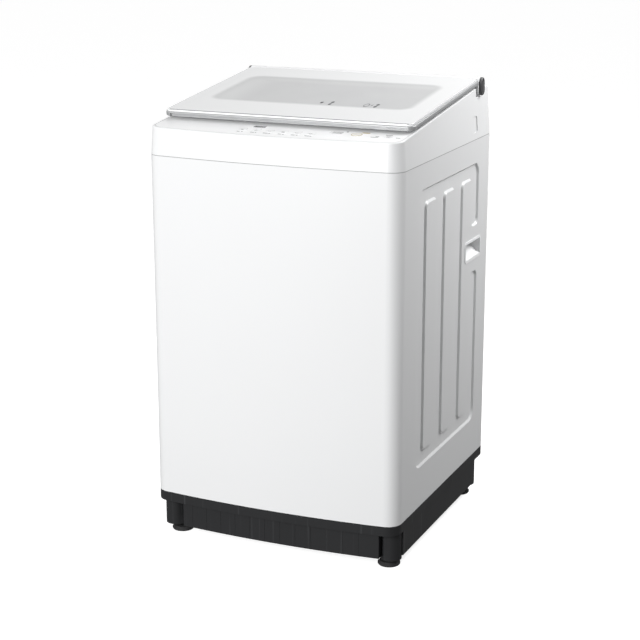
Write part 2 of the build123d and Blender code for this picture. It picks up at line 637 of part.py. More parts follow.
with BuildPart() as base:
    extrude(footprint(RIM_BOTTOM), amount=RIM_HEIGHT)
    extrude(footprint(SKIRT_BOTTOM, SKIRT_SIDE_INSET, SKIRT_END_INSET), amount=RIM_BOTTOM - SKIRT_BOTTOM)
    hollow_rim = footprint(RIM_BOTTOM + BASE_WALL, BASE_WALL)
    extrude(hollow_rim, amount=RIM_HEIGHT - 2 * BASE_WALL, mode=Mode.SUBTRACT)
    hollow_skirt = footprint(SKIRT_BOTTOM, SKIRT_SIDE_INSET + BASE_WALL, SKIRT_END_INSET + BASE_WALL)
    extrude(hollow_skirt, amount=RIM_BOTTOM + BASE_WALL - SKIRT_BOTTOM, mode=Mode.SUBTRACT)
    extrude(footprint(SKIRT_BOTTOM, LEDGE), amount=CABINET_BOTTOM, mode=Mode.SUBTRACT)
    extrude(corner_niches(0.0), amount=RIM_BOTTOM - SKIRT_BOTTOM, mode=Mode.SUBTRACT)
    add(niche_walls.part)
    for foot_x, foot_y in FEET_FRONT + FEET_REAR:
        spread_x = foot_x + copysign(BOSS_SPREAD_X, foot_x)
        spread_y = foot_y + copysign(BOSS_SPREAD_Y, foot_y)
        with BuildSketch(Plane.XY.offset(BOSS_BOTTOM)):
            with Locations((foot_x, foot_y), (spread_x, spread_y)):
                Circle(BOSS_R)
            make_hull()
        extrude(amount=CABINET_BOTTOM - BASE_WALL - BOSS_BOTTOM)
    with BuildSketch(Plane.XY.offset(BOSS_BOTTOM)):
        with Locations(FEET_FRONT + FEET_REAR):
            Circle(STUD_R + SLIDE)
    extrude(amount=BORE_TOP - BOSS_BOTTOM, mode=Mode.SUBTRACT)
    for i in range(SKIRT_RIB_COUNT):
        rib_x = SKIRT_RIB_PITCH * (i - (SKIRT_RIB_COUNT - 1) / 2)
        rib_y = front_y(rib_x, SKIRT_END_INSET)
        with BuildSketch(Plane.XY.offset(SKIRT_BOTTOM)):
            with Locations((rib_x, rib_y)):
                Rectangle(SKIRT_RIB_WIDTH, 2 * SKIRT_RIB_PROUD)
        extrude(amount=RIM_BOTTOM - SKIRT_BOTTOM)
    shelf_front = DRAIN_Y - VALVE_R - 6.0
    shelf_rear = REAR_Y - SKIRT_END_INSET - BASE_WALL / 2
    with BuildSketch(Plane.XY.offset(SKIRT_BOTTOM)):
        with Locations((DRAIN_X, (shelf_front + shelf_rear) / 2)):
            Rectangle(2 * VALVE_R + 20.0, shelf_rear - shelf_front)
    extrude(amount=BASE_WALL)
    with BuildSketch(REAR_FACE):
        with Locations((-DRAIN_X, SPIGOT_Z)):
            Circle(SPIGOT_R + SLIDE)
    extrude(amount=-(SKIRT_END_INSET + 2 * BASE_WALL), mode=Mode.SUBTRACT)
base.part.label = "base"
export_step(base.part, "parts/base.step")

# Front feet turn in the bosses; a lock nut under each boss holds them
FOOT_PROFILE = [
    (0, 0),
    (PAD_R - 1.5, 0),
    (PAD_R, 2.0),
    (PAD_R, 4.5),
    (PAD_R - 4.0, PAD_HEIGHT - 2.0),
    (NUT_R, PAD_HEIGHT),
    (STUD_R, PAD_HEIGHT),
    (STUD_R, STUD_TOP - 1.0),
    (STUD_R - 1.0, STUD_TOP),
    (0, STUD_TOP),
]


def foot_section(place):
    """Upright half section through one foot."""
    return Plane(origin=(place[0], place[1], 0), x_dir=(1, 0, 0), z_dir=(0, -1, 0))


def foot_axis(place):
    """Upright axis of one foot."""
    return Axis((place[0], place[1], 0), (0, 0, 1))


with BuildPart() as foot_front_left:
    revolve(turned(FOOT_PROFILE, foot_section(FEET_FRONT[0])), axis=foot_axis(FEET_FRONT[0]))
foot_front_left.part.label = "foot_front_left"
export_step(foot_front_left.part, "parts/foot_front_left.step")

with BuildPart() as foot_front_right:
    revolve(turned(FOOT_PROFILE, foot_section(FEET_FRONT[1])), axis=foot_axis(FEET_FRONT[1]))
foot_front_right.part.label = "foot_front_right"
export_step(foot_front_right.part, "parts/foot_front_right.step")

with BuildPart() as foot_lock_nuts:
    with BuildSketch(Plane.XY.offset(BOSS_BOTTOM - NUT_HEIGHT)):
        with Locations(FEET_FRONT):
            RegularPolygon(NUT_R, 6)
            Circle(STUD_R + SLIDE, mode=Mode.SUBTRACT)
    extrude(amount=NUT_HEIGHT)
foot_lock_nuts.part.label = "foot_lock_nuts"
export_step(foot_lock_nuts.part, "parts/foot_lock_nuts.step")

with BuildPart() as rear_feet:
    collar = [(NUT_R + 3.0, PAD_HEIGHT), (NUT_R + 3.0, BOSS_BOTTOM), (STUD_R, BOSS_BOTTOM)]
    fixed_profile = FOOT_PROFILE[:5] + collar + FOOT_PROFILE[7:]
    for place in FEET_REAR:
        revolve(turned(fixed_profile, foot_section(place)), axis=foot_axis(place))
rear_feet.part.label = "rear_feet"
export_step(rear_feet.part, "parts/rear_feet.step")

# Top cover: drafted walls, a sloping deck, the wash opening and the hinge ears
outer_blank = cover_blank(0.0, 0.0)
inner_blank = cover_blank(COVER_WALL, COVER_DECK)
opening_outside = funnel(COVER_WALL, 0.0)
opening_inside = funnel(0.0, 1.0)
fascia_recess = fascia_slab(FASCIA_EDGE - FIT, FASCIA_V + FIT)
BOARD_POSTS = [
    (BOARD_X + x * (BOARD_WIDTH / 2 - 6.0), BOARD_V + v * (BOARD_LENGTH / 2 - 5.0))
    for x in (-1, 1)
    for v in (-1, 1)
]
PLUG_WALL_X = HALF_WIDTH - (PLUG_Z - SEAM_Z) * tan(radians(COVER_DRAFT))
PLUG_FACE = Plane(
    origin=(PLUG_WALL_X, PLUG_Y, PLUG_Z),
    x_dir=(0, 1, 0),
    z_dir=(cos(radians(COVER_DRAFT)), 0, sin(radians(COVER_DRAFT))),
)

with BuildPart() as plug_hole:
    with BuildSketch(PLUG_FACE.offset(COVER_WALL)):
        RectangleRounded(PLUG_LENGTH, PLUG_HEIGHT, 6.0)
    extrude(amount=-3 * COVER_WALL)

with BuildPart() as top_cover:
    add(outer_blank)
    rim = top_cover.faces().sort_by(Axis(DECK.origin, DECK.z_dir))[-1].edges()
    fillet(rim.filter_by(lambda e: (e @ 0.5).Y < REAR_STEP_Y - 1.0), COVER_EDGE_R)
    add(inner_blank, mode=Mode.SUBTRACT)
    add(opening_outside)
    add(opening_inside, mode=Mode.SUBTRACT)
    add(fascia_recess, mode=Mode.SUBTRACT)
    extrude(key_openings(DECK, SLIDE), amount=-2 * COVER_DECK, mode=Mode.SUBTRACT)
    with BuildSketch(DECK):
        with Locations((DISPLAY_X, DISPLAY_V)):
            Rectangle(DISPLAY_WIDTH - 4.0, DISPLAY_LENGTH - 4.0)
    extrude(amount=-2 * COVER_DECK, mode=Mode.SUBTRACT)
    with BuildSketch(DECK.offset(BOARD_TOP)):
        with Locations(BOARD_POSTS):
            Circle(3.5)
    extrude(amount=-BOARD_TOP - COVER_DECK + 1.0)
    for ear_x in (EAR_X, -EAR_X - EAR_WIDTH):
        with BuildSketch(Plane.YZ.offset(ear_x)):
            with Locations((HINGE_Y, HINGE_Z)):
                Circle(EAR_R)
            with Locations((HINGE_Y, (HINGE_Z + REAR_DECK_Z) / 2 - 1.0)):
                Rectangle(2 * EAR_R, HINGE_Z - REAR_DECK_Z + 2.0)
            with Locations((HINGE_Y, HINGE_Z)):
                Circle(PIN_R + RUNNING_FIT, mode=Mode.SUBTRACT)
        extrude(amount=EAR_WIDTH)
    with BuildSketch(Plane(origin=(0, DISPENSER_FRONT_Y - 20.0, 0), x_dir=(1, 0, 0), z_dir=(0, -1, 0))):
        with Locations((DISPENSER_X, DISPENSER_BOTTOM + DISPENSER_HEIGHT / 2)):
            Rectangle(DISPENSER_WIDTH + 2 * FIT, DISPENSER_HEIGHT + 2 * FIT)
    extrude(amount=-DISPENSER_DEPTH / 2, mode=Mode.SUBTRACT)
    pocket_floor = INLET_POCKET_DEPTH + COVER_WALL
    with BuildSketch(REAR_FACE.offset(-pocket_floor)):
        with Locations((-INLET_X, INLET_Z)):
            Circle(INLET_POCKET_R + COVER_WALL)
    extrude(amount=pocket_floor - 7.0)
    with BuildSketch(REAR_FACE.offset(-INLET_POCKET_DEPTH)):
        with Locations((-INLET_X, INLET_Z)):
            Circle(INLET_POCKET_R)
    extrude(amount=INLET_POCKET_DEPTH, mode=Mode.SUBTRACT)
    with BuildSketch(REAR_FACE.offset(-pocket_floor)):
        with Locations((-INLET_X, INLET_Z)):
            Circle(INLET_R + FIT)
    extrude(amount=pocket_floor, mode=Mode.SUBTRACT)
    add(plug_hole.part, mode=Mode.SUBTRACT)
    add(mirror(plug_hole.part, about=Plane.YZ), mode=Mode.SUBTRACT)
top_cover.part.label = "top_cover"
export_step(top_cover.part, "parts/top_cover.step")

# Rear strip: hollow, stands on the rear deck and carries the cover's walls up behind the hinge
with BuildPart() as strip_hollow:
    extrude(footprint(SEAM_Z, COVER_WALL), amount=CABINET_HEIGHT / 4, taper=COVER_DRAFT)
    with BuildSketch(Plane.XY.offset(REAR_DECK_Z)):
        with Locations((0, STRIP_Y + COVER_WALL + CABINET_DEPTH / 2)):
            Rectangle(CABINET_WIDTH, CABINET_DEPTH)
    extrude(amount=STRIP_TOP - COVER_WALL - REAR_DECK_Z, mode=Mode.INTERSECT)

with BuildPart() as rear_strip:
    extrude(footprint(SEAM_Z), amount=CABINET_HEIGHT / 4, taper=COVER_DRAFT)
    with BuildSketch(Plane.XY.offset(REAR_DECK_Z)):
        with Locations((0, STRIP_Y + CABINET_DEPTH / 2)):
            Rectangle(CABINET_WIDTH, CABINET_DEPTH)
    extrude(amount=STRIP_TOP - REAR_DECK_Z, mode=Mode.INTERSECT)
    fillet(rear_strip.faces().sort_by(Axis.Z)[-1].edges(), STRIP_EDGE_R)
    add(strip_hollow.part, mode=Mode.SUBTRACT)
rear_strip.part.label = "rear_strip"
export_step(rear_strip.part, "parts/rear_strip.step")

with BuildPart() as plug_right:
    with BuildSketch(PLUG_FACE.offset(-PLUG_SINK)):
        RectangleRounded(PLUG_LENGTH - 2 * FIT, PLUG_HEIGHT - 2 * FIT, 6.0 - FIT)
    extrude(amount=-(COVER_WALL - PLUG_SINK + 1.0))
    with BuildSketch(PLUG_FACE.offset(-COVER_WALL)):
        RectangleRounded(PLUG_LENGTH + 4.0, PLUG_HEIGHT + 4.0, 7.0)
    extrude(amount=-1.5)

with BuildPart() as side_plugs:
    add(plug_right.part)
    add(mirror(plug_right.part, about=Plane.YZ))
side_plugs.part.label = "side_plugs"
export_step(side_plugs.part, "parts/side_plugs.step")

# Control panel: fascia, display lens, keys and board
with BuildPart() as control_fascia:
    add(fascia_slab(FASCIA_EDGE, FASCIA_V))
    extrude(key_openings(DECK, SLIDE), amount=-2 * FASCIA_T, mode=Mode.SUBTRACT)
    with BuildSketch(DECK):
        with Locations((DISPLAY_X, DISPLAY_V)):
            RectangleRounded(DISPLAY_WIDTH, DISPLAY_LENGTH, 1.5)
    extrude(amount=-2 * FASCIA_T, mode=Mode.SUBTRACT)
control_fascia.part.label = "control_fascia"
export_step(control_fascia.part, "parts/control_fascia.step")

with BuildPart() as display_lens:
    with BuildSketch(DECK.offset(-FASCIA_T)):
        with Locations((DISPLAY_X, DISPLAY_V)):
            RectangleRounded(DISPLAY_WIDTH - 2 * FIT, DISPLAY_LENGTH - 2 * FIT, 1.5)
    extrude(amount=FASCIA_T)
display_lens.part.label = "display_lens"
export_step(display_lens.part, "parts/display_lens.step")

COLLAR_TOP = -(COVER_DECK + SLIDE)

for number, (key_x, key_v) in enumerate(KEY_PLACES, start=1):
    with BuildPart() as option_key:
        with BuildSketch(DECK.offset(COLLAR_TOP)):
            with Locations((key_x, key_v)):
                RectangleRounded(KEY_WIDTH, KEY_LENGTH, 2.7)
        extrude(amount=KEY_PROUD - COLLAR_TOP)
        fillet(option_key.faces().sort_by(Axis(DECK.origin, DECK.z_dir))[-1].edges(), 0.4)
        with BuildSketch(DECK.offset(COLLAR_TOP)):
            with Locations((key_x, key_v)):
                RectangleRounded(KEY_WIDTH + 3.0, KEY_LENGTH + 3.0, 3.0)
        extrude(amount=-KEY_COLLAR)
        with BuildSketch(DECK.offset(COLLAR_TOP - KEY_COLLAR)):
            with Locations((key_x, key_v)):
                Circle(KEY_STEM_R)
        extrude(amount=-KEY_STEM)
    option_key.part.label = f"option_key_{number}"
    export_step(option_key.part, f"parts/option_key_{number}.step")

with BuildPart() as start_key:
    with BuildSketch(DECK.offset(COLLAR_TOP)):
        with Locations((START_X, START_V)):
            Circle(START_R)
    extrude(amount=KEY_PROUD - COLLAR_TOP)
    fillet(start_key.faces().sort_by(Axis(DECK.origin, DECK.z_dir))[-1].edges(), 0.4)
    with BuildSketch(DECK.offset(COLLAR_TOP)):
        with Locations((START_X, START_V)):
            Circle(START_R + 2.0)
    extrude(amount=-KEY_COLLAR)
    with BuildSketch(DECK.offset(COLLAR_TOP - KEY_COLLAR)):
        with Locations((START_X, START_V)):
            Circle(KEY_STEM_R)
    extrude(amount=-KEY_STEM)
start_key.part.label = "start_key"
export_step(start_key.part, "parts/start_key.step")

with BuildPart() as power_key:
    with BuildSketch(DECK.offset(COLLAR_TOP)):
        with Locations((POWER_X, POWER_V)):
            Circle(POWER_R)
    extrude(amount=KEY_PROUD - COLLAR_TOP)
    fillet(power_key.faces().sort_by(Axis(DECK.origin, DECK.z_dir))[-1].edges(), 0.4)
    with BuildSketch(DECK.offset(COLLAR_TOP)):
        with Locations((POWER_X, POWER_V)):
            Circle(POWER_R + 2.0)
    extrude(amount=-KEY_COLLAR)
    with BuildSketch(DECK.offset(COLLAR_TOP - KEY_COLLAR)):
        with Locations((POWER_X, POWER_V)):
            Circle(KEY_STEM_R)
    extrude(amount=-KEY_STEM)
power_key.part.label = "power_key"
export_step(power_key.part, "parts/power_key.step")

with BuildPart() as control_board:
    with BuildSketch(DECK.offset(BOARD_TOP)):
        with Locations((BOARD_X, BOARD_V)):
            Rectangle(BOARD_WIDTH, BOARD_LENGTH)
    extrude(amount=-BOARD_T)
    with BuildSketch(DECK.offset(BOARD_TOP)):
        with Locations(KEY_PLACES + [(START_X, START_V), (POWER_X, POWER_V)]):
            Rectangle(6.0, 6.0)
    extrude(amount=SWITCH_HEIGHT)
    with BuildSketch(DECK.offset(BOARD_TOP)):
        with Locations((DISPLAY_X, DISPLAY_V)):
            Rectangle(DISPLAY_WIDTH - 5.0, DISPLAY_LENGTH - 5.0)
    extrude(amount=7.0)
control_board.part.label = "control_board"
export_step(control_board.part, "parts/control_board.step")

# Lid: silver trim on three sides, white frame with the hinge barrel, glass on top
TRIM_CENTRE_V = (LID_FRONT_V + TRIM_END_V) / 2
TRIM_LENGTH = TRIM_END_V - LID_FRONT_V


def on_trim_outside(edge):
    """Whether an edge of the trim lies along its front or its sides."""
    middle = DECK.to_local_coords(edge @ 0.5)
    beside = abs(middle.X) > LID_WIDTH / 2 - TRIM_CORNER_R / 2
    return beside and middle.Y < TRIM_END_V - 1.0 or middle.Y < LID_FRONT_V + 1.0


with BuildPart() as lid_trim:
    with BuildSketch(DECK.offset(LID_GAP)) as trim_outline:
        with Locations((0, TRIM_CENTRE_V)):
            Rectangle(LID_WIDTH, TRIM_LENGTH)
        fillet(trim_outline.vertices().sort_by(Axis.Y)[:2], TRIM_CORNER_R)
        with Locations((0, TRIM_CENTRE_V + TRIM_WIDTH)):
            Rectangle(LID_WIDTH - 2 * TRIM_WIDTH, TRIM_LENGTH, mode=Mode.SUBTRACT)
    extrude(amount=TRIM_T)
    crown = lid_trim.faces().sort_by(Axis(DECK.origin, DECK.z_dir))[-1].edges()
    fillet(crown.filter_by(on_trim_outside), GLASS_MARGIN - 0.2)
    sole = lid_trim.faces().sort_by(Axis(DECK.origin, DECK.z_dir))[0].edges()
    fillet(sole.filter_by(on_trim_outside), TRIM_SOLE_R)
    with BuildSketch(DECK.offset(LID_GAP)):
        with Locations((0, LID_FRONT_V)):
            Rectangle(LID_WIDTH - 2 * TRIM_CORNER_R, 2 * TRIM_GRIP_DEPTH)
    extrude(amount=TRIM_GRIP_HEIGHT, mode=Mode.SUBTRACT)
lid_trim.part.label = "lid_trim"
export_step(lid_trim.part, "parts/lid_trim.step")

with BuildPart() as lid_frame:
    frame_front = LID_FRONT_V + TRIM_WIDTH + FIT
    with BuildSketch(DECK.offset(LID_GAP)):
        with Locations((0, (frame_front + HINGE_V) / 2)):
            Rectangle(2 * FRAME_HALF, HINGE_V - frame_front)
        with Locations((0, WINDOW_V)):
            RectangleRounded(WINDOW_WIDTH, WINDOW_LENGTH, WINDOW_R, mode=Mode.SUBTRACT)
    extrude(amount=TRIM_T)
    with BuildSketch(Plane.YZ.offset(-BARREL_HALF)):
        with Locations((HINGE_Y, HINGE_Z)):
            Circle(BARREL_R)
    extrude(amount=2 * BARREL_HALF)
    slot = Plane(origin=(0, HINGE_Y, HINGE_Z), x_dir=DECK.y_dir, z_dir=(1, 0, 0))
    slot_width = EAR_WIDTH + 2 * EAR_CLEAR
    for slot_x in (EAR_X - EAR_CLEAR, -EAR_X - EAR_WIDTH - EAR_CLEAR):
        with BuildSketch(slot.offset(slot_x)):
            Circle(EAR_R + EAR_CLEAR - 0.5)
            with Locations((-EAR_R / 2, -BARREL_R / 2)):
                Rectangle(4 * EAR_R, BARREL_R)
            with Locations((BARREL_R / 2, 0)):
                Rectangle(BARREL_R, 2 * BARREL_R)
        extrude(amount=slot_width, mode=Mode.SUBTRACT)
    for bore_x in (EAR_X + EAR_WIDTH, -EAR_X - EAR_WIDTH - EAR_CLEAR - PIN_REACH - 1.0):
        with BuildSketch(slot.offset(bore_x)):
            Circle(PIN_R + RUNNING_FIT)
        extrude(amount=EAR_CLEAR + PIN_REACH + 1.0, mode=Mode.SUBTRACT)
lid_frame.part.label = "lid_frame"
export_step(lid_frame.part, "parts/lid_frame.step")

with BuildPart() as lid_glass:
    glass_front = LID_FRONT_V + GLASS_MARGIN
    with BuildSketch(DECK.offset(LID_GAP + TRIM_T)):
        with Locations((0, (glass_front + GLASS_END_V) / 2)):
            RectangleRounded(LID_WIDTH - 2 * GLASS_MARGIN, GLASS_END_V - glass_front, GLASS_R)
    extrude(amount=GLASS_T)
    chamfer(lid_glass.faces().sort_by(Axis(DECK.origin, DECK.z_dir))[-1].edges(), 0.8)
lid_glass.part.label = "lid_glass"
export_step(lid_glass.part, "parts/lid_glass.step")

with BuildPart() as cap_right:
    cap_face = Plane(origin=(BARREL_HALF, HINGE_Y, HINGE_Z), x_dir=DECK.z_dir, z_dir=(1, 0, 0))
    with BuildSketch(cap_face):
        SlotOverall(2 * BARREL_R, CAP_WIDTH)
    extrude(amount=CAP_T)
    chamfer(cap_right.faces().sort_by(Axis.X)[-1].edges(), 1.2)
    with BuildSketch(cap_face.offset(CAP_T)):
        SlotOverall(2 * BARREL_R - 8.0, CAP_WIDTH - 8.0)
        SlotOverall(2 * BARREL_R - 13.0, CAP_WIDTH - 13.0, mode=Mode.SUBTRACT)
    extrude(amount=-1.5, mode=Mode.SUBTRACT)

with BuildPart() as hinge_caps:
    add(cap_right.part)
    add(mirror(cap_right.part, about=Plane.YZ))
hinge_caps.part.label = "hinge_caps"
export_step(hinge_caps.part, "parts/hinge_caps.step")

with BuildPart() as hinge_pins:
    pin_length = EAR_WIDTH + EAR_CLEAR + PIN_REACH
    for pin_x in (EAR_X, -EAR_X - pin_length):
        with BuildSketch(Plane.YZ.offset(pin_x)):
            with Locations((HINGE_Y, HINGE_Z)):
                Circle(PIN_R)
        extrude(amount=pin_length)
hinge_pins.part.label = "hinge_pins"
export_step(hinge_pins.part, "parts/hinge_pins.step")

with BuildPart() as lid_bumpers:
    with BuildSketch(DECK):
        with Locations((-BUMPER_X, BUMPER_V), (BUMPER_X, BUMPER_V)):
            Circle(BUMPER_R)
    extrude(amount=LID_GAP, taper=6)
lid_bumpers.part.label = "lid_bumpers"
export_step(lid_bumpers.part, "parts/lid_bumpers.step")

with BuildPart() as lid_switch:
    with BuildSketch(DECK.offset(-COVER_DECK)):
        with Locations((SWITCH_X, SWITCH_V)):
            Rectangle(18.0, 34.0)
    extrude(amount=-12.0)
    with BuildSketch(DECK.offset(-COVER_DECK - 12.0)):
        with Locations((SWITCH_X, SWITCH_V - 8.0), (SWITCH_X, SWITCH_V + 8.0)):
            Rectangle(1.0, 5.0)
    extrude(amount=-6.0)
lid_switch.part.label = "lid_switch"
export_step(lid_switch.part, "parts/lid_switch.step")

# Dispenser: open box through the rear of the opening, with a drawer in it
with BuildPart() as dispenser_housing:
    dispenser_front = Plane(origin=(0, DISPENSER_FRONT_Y, 0), x_dir=(1, 0, 0), z_dir=(0, -1, 0))
    with BuildSketch(dispenser_front):
        with Locations((DISPENSER_X, DISPENSER_BOTTOM + DISPENSER_HEIGHT / 2)):
            Rectangle(DISPENSER_WIDTH, DISPENSER_HEIGHT)
    extrude(amount=-DISPENSER_DEPTH)
    with BuildSketch(dispenser_front):
        with Locations((DISPENSER_X, DISPENSER_BOTTOM + DISPENSER_HEIGHT / 2)):
            Rectangle(DISPENSER_WIDTH - 2 * DISPENSER_WALL, DISPENSER_HEIGHT - 2 * DISPENSER_WALL)
    extrude(amount=-(DISPENSER_DEPTH - DISPENSER_WALL), mode=Mode.SUBTRACT)
    with BuildSketch(Plane.XY.offset(DISPENSER_BOTTOM)):
        with Locations([(DISPENSER_X + 20.0 * i, DISPENSER_FRONT_Y + 8.0) for i in (-2, -1, 0, 1, 2)]):
            Rectangle(12.0, 5.0)
    extrude(amount=2 * DISPENSER_WALL, mode=Mode.SUBTRACT)
    with BuildSketch(Plane.YZ.offset(DISPENSER_X - DISPENSER_WIDTH / 2)):
        with Locations((REAR_Y - INLET_POCKET_DEPTH - INLET_BODY / 2 - COVER_WALL, INLET_Z)):
            Circle(NOZZLE_R - TUBE_WALL)
    extrude(amount=DISPENSER_WALL, mode=Mode.SUBTRACT)
dispenser_housing.part.label = "dispenser_housing"
export_step(dispenser_housing.part, "parts/dispenser_housing.step")

with BuildPart() as detergent_drawer:
    tray_gap = DISPENSER_WALL + DRAWER_CLEAR
    tray_width = DISPENSER_WIDTH - 2 * tray_gap
    tray_height = DISPENSER_HEIGHT - 2 * tray_gap
    tray_length = DISPENSER_DEPTH - tray_gap - 6.0
    tray_bottom = DISPENSER_BOTTOM + tray_gap
    drawer_front = Plane(origin=(0, DISPENSER_FRONT_Y - SLIDE, 0), x_dir=(1, 0, 0), z_dir=(0, -1, 0))
    with BuildSketch(drawer_front):
        with Locations((DISPENSER_X, DISPENSER_BOTTOM + DISPENSER_HEIGHT / 2)):
            RectangleRounded(
                DISPENSER_WIDTH + 2 * DRAWER_FACE_LIP, DISPENSER_HEIGHT + DRAWER_FACE_LIP, 5.0
            )
    extrude(amount=DRAWER_FACE)
    with BuildSketch(drawer_front):
        with Locations((DISPENSER_X, tray_bottom + tray_height / 2)):
            Rectangle(tray_width, tray_height)
    extrude(amount=-tray_length)
    chamber = (tray_width - 3 * DISPENSER_WALL) / 2
    with BuildSketch(Plane.XY.offset(tray_bottom + DISPENSER_WALL)):
        for direction in (-1, 1):
            chamber_x = DISPENSER_X + direction * (chamber + DISPENSER_WALL) / 2
            with Locations((chamber_x, DISPENSER_FRONT_Y - SLIDE + tray_length / 2)):
                RectangleRounded(chamber, tray_length - 2 * DISPENSER_WALL, 4.0)
    extrude(amount=tray_height, mode=Mode.SUBTRACT)
    grip_place = (DISPENSER_X, DISPENSER_BOTTOM + 7.0)
    with BuildSketch(drawer_front.offset(DRAWER_FACE)):
        with Locations(grip_place):
            RectangleRounded(60.0, 9.0, 4.0)
    extrude(amount=-3.0, mode=Mode.SUBTRACT)
detergent_drawer.part.label = "detergent_drawer"
export_step(detergent_drawer.part, "parts/detergent_drawer.step")

# Water inlet: threaded port in the rear pocket, coil body, nozzle into the dispenser
with BuildPart() as inlet_valve:
    valve_face = REAR_FACE.offset(-INLET_POCKET_DEPTH - COVER_WALL)
    with BuildSketch(valve_face):
        with Locations((-INLET_X, INLET_Z)):
            Rectangle(INLET_BODY, INLET_BODY - 6.0)
    extrude(amount=-INLET_BODY)
    thread_start = COVER_WALL + INLET_UNDERCUT
    port_length = COVER_WALL + INLET_POCKET_DEPTH - INLET_SUNK
    with BuildSketch(valve_face):
        with Locations((-INLET_X, INLET_Z)):
            Circle(INLET_R - INLET_RELIEF)
    extrude(amount=thread_start)
    with BuildSketch(valve_face.offset(thread_start)):
        with Locations((-INLET_X, INLET_Z)):
            Circle(INLET_R)
    extrude(amount=port_length - thread_start)
    with BuildSketch(valve_face.offset(port_length)):
        with Locations((-INLET_X, INLET_Z)):
            Circle(INLET_BORE_R)
    extrude(amount=-(INLET_POCKET_DEPTH + 12.0), mode=Mode.SUBTRACT)
    nozzle = Plane.YZ.offset(INLET_X + INLET_BODY / 2)
    nozzle_reach = DISPENSER_X - DISPENSER_WIDTH / 2 - FIT - INLET_X - INLET_BODY / 2
    with BuildSketch(nozzle):
        with Locations((REAR_Y - INLET_POCKET_DEPTH - INLET_BODY / 2 - COVER_WALL, INLET_Z)):
            Circle(NOZZLE_R)
            Circle(NOZZLE_R - TUBE_WALL, mode=Mode.SUBTRACT)
    extrude(amount=nozzle_reach)
inlet_valve.part.label = "inlet_valve"
export_step(inlet_valve.part, "parts/inlet_valve.step")

# Suspension: corner brackets, rods with pistons, damper cups and springs
with BuildPart() as corner_brackets:
    bracket_z = SEAM_Z - SHEET - BRACKET_T
    extrude(footprint(bracket_z, SHEET + FIT), amount=BRACKET_T)
    with BuildSketch(Plane.XY.offset(bracket_z)):
        with Locations((0, DRUM_Y)):
            Rectangle(BRACKET_REACH * sqrt(2), BRACKET_REACH * sqrt(2), rotation=45)
        with Locations((0, REAR_Y)):
            Rectangle(CABINET_WIDTH, 2 * (2 * SHEET + REAR_PRESS + 1.0))
        with Locations(RODS):
            Circle(ROD_R + 1.0)
    extrude(amount=BRACKET_T, mode=Mode.SUBTRACT)
corner_brackets.part.label = "corner_brackets"
export_step(corner_brackets.part, "parts/corner_brackets.step")

ROD_SEAT = SEAM_Z - SHEET
ROD_PROFILE = [
    (0, PISTON_TOP - PISTON_T - 6.0),
    (ROD_R, PISTON_TOP - PISTON_T - 6.0),
    (ROD_R, PISTON_TOP - PISTON_T),
    (PISTON_R - 1.0, PISTON_TOP - PISTON_T),
    (PISTON_R, PISTON_TOP - PISTON_T + 1.0),
    (PISTON_R, PISTON_TOP),
    (ROD_R, PISTON_TOP),
    (ROD_R, ROD_SEAT),
    (ROD_HEAD_R, ROD_SEAT),
    (ROD_HEAD_R, ROD_SEAT + 2.0),
    (ROD_HEAD_R - 3.0, ROD_SEAT + 7.0),
    (ROD_HEAD_R - 7.0, ROD_SEAT + 9.0),
    (0, ROD_SEAT + 9.0),
]

with BuildPart() as suspension_rods:
    for place in RODS:
        revolve(turned(ROD_PROFILE, foot_section(place)), axis=foot_axis(place))
suspension_rods.part.label = "suspension_rods"
export_step(suspension_rods.part, "parts/suspension_rods.step")

CUP_PROFILE = [
    (ROD_R + 1.5, LUG_BOTTOM - CUP_WALL),
    (CUP_R - CUP_WALL, LUG_BOTTOM - CUP_WALL),
    (CUP_R - CUP_WALL, LUG_BOTTOM - CUP_HEIGHT),
    (CUP_R, LUG_BOTTOM - CUP_HEIGHT),
    (CUP_R, LUG_BOTTOM),
    (ROD_R + 1.5, LUG_BOTTOM),
]

with BuildPart() as damper_cups:
    for place in RODS:
        revolve(turned(CUP_PROFILE, foot_section(place)), axis=foot_axis(place))
damper_cups.part.label = "damper_cups"
export_step(damper_cups.part, "parts/damper_cups.step")


def coil_points(place):
    """Corners of a spring's wire, rising between the piston and the top of the cup."""
    start = PISTON_TOP + WIRE_R + FIT
    rise = LUG_BOTTOM - CUP_WALL - WIRE_R - FIT - start
    count = SPRING_TURNS * SPRING_STEPS
    points = []
    for i in range(count + 1):
        turn = radians(360.0 * i / SPRING_STEPS)
        height = start + rise * i / count
        points.append((place[0] + SPRING_R * cos(turn), place[1] + SPRING_R * sin(turn), height))
    return points


with BuildPart() as spring:
    wire_points = coil_points(RODS[0])
    with BuildLine() as wire_path:
        Polyline(*wire_points)
    with BuildSketch(Plane(origin=wire_points[0], z_dir=Vector(*wire_points[1]) - Vector(*wire_points[0]))):
        RegularPolygon(WIRE_R, 6)
    sweep(path=wire_path.line, transition=Transition.RIGHT)

with BuildPart() as suspension_springs:
    for place in RODS:
        add(Location((place[0] - RODS[0][0], place[1] - RODS[0][1], 0)) * spring.part)
suspension_springs.part.label = "suspension_springs"
export_step(suspension_springs.part, "parts/suspension_springs.step")

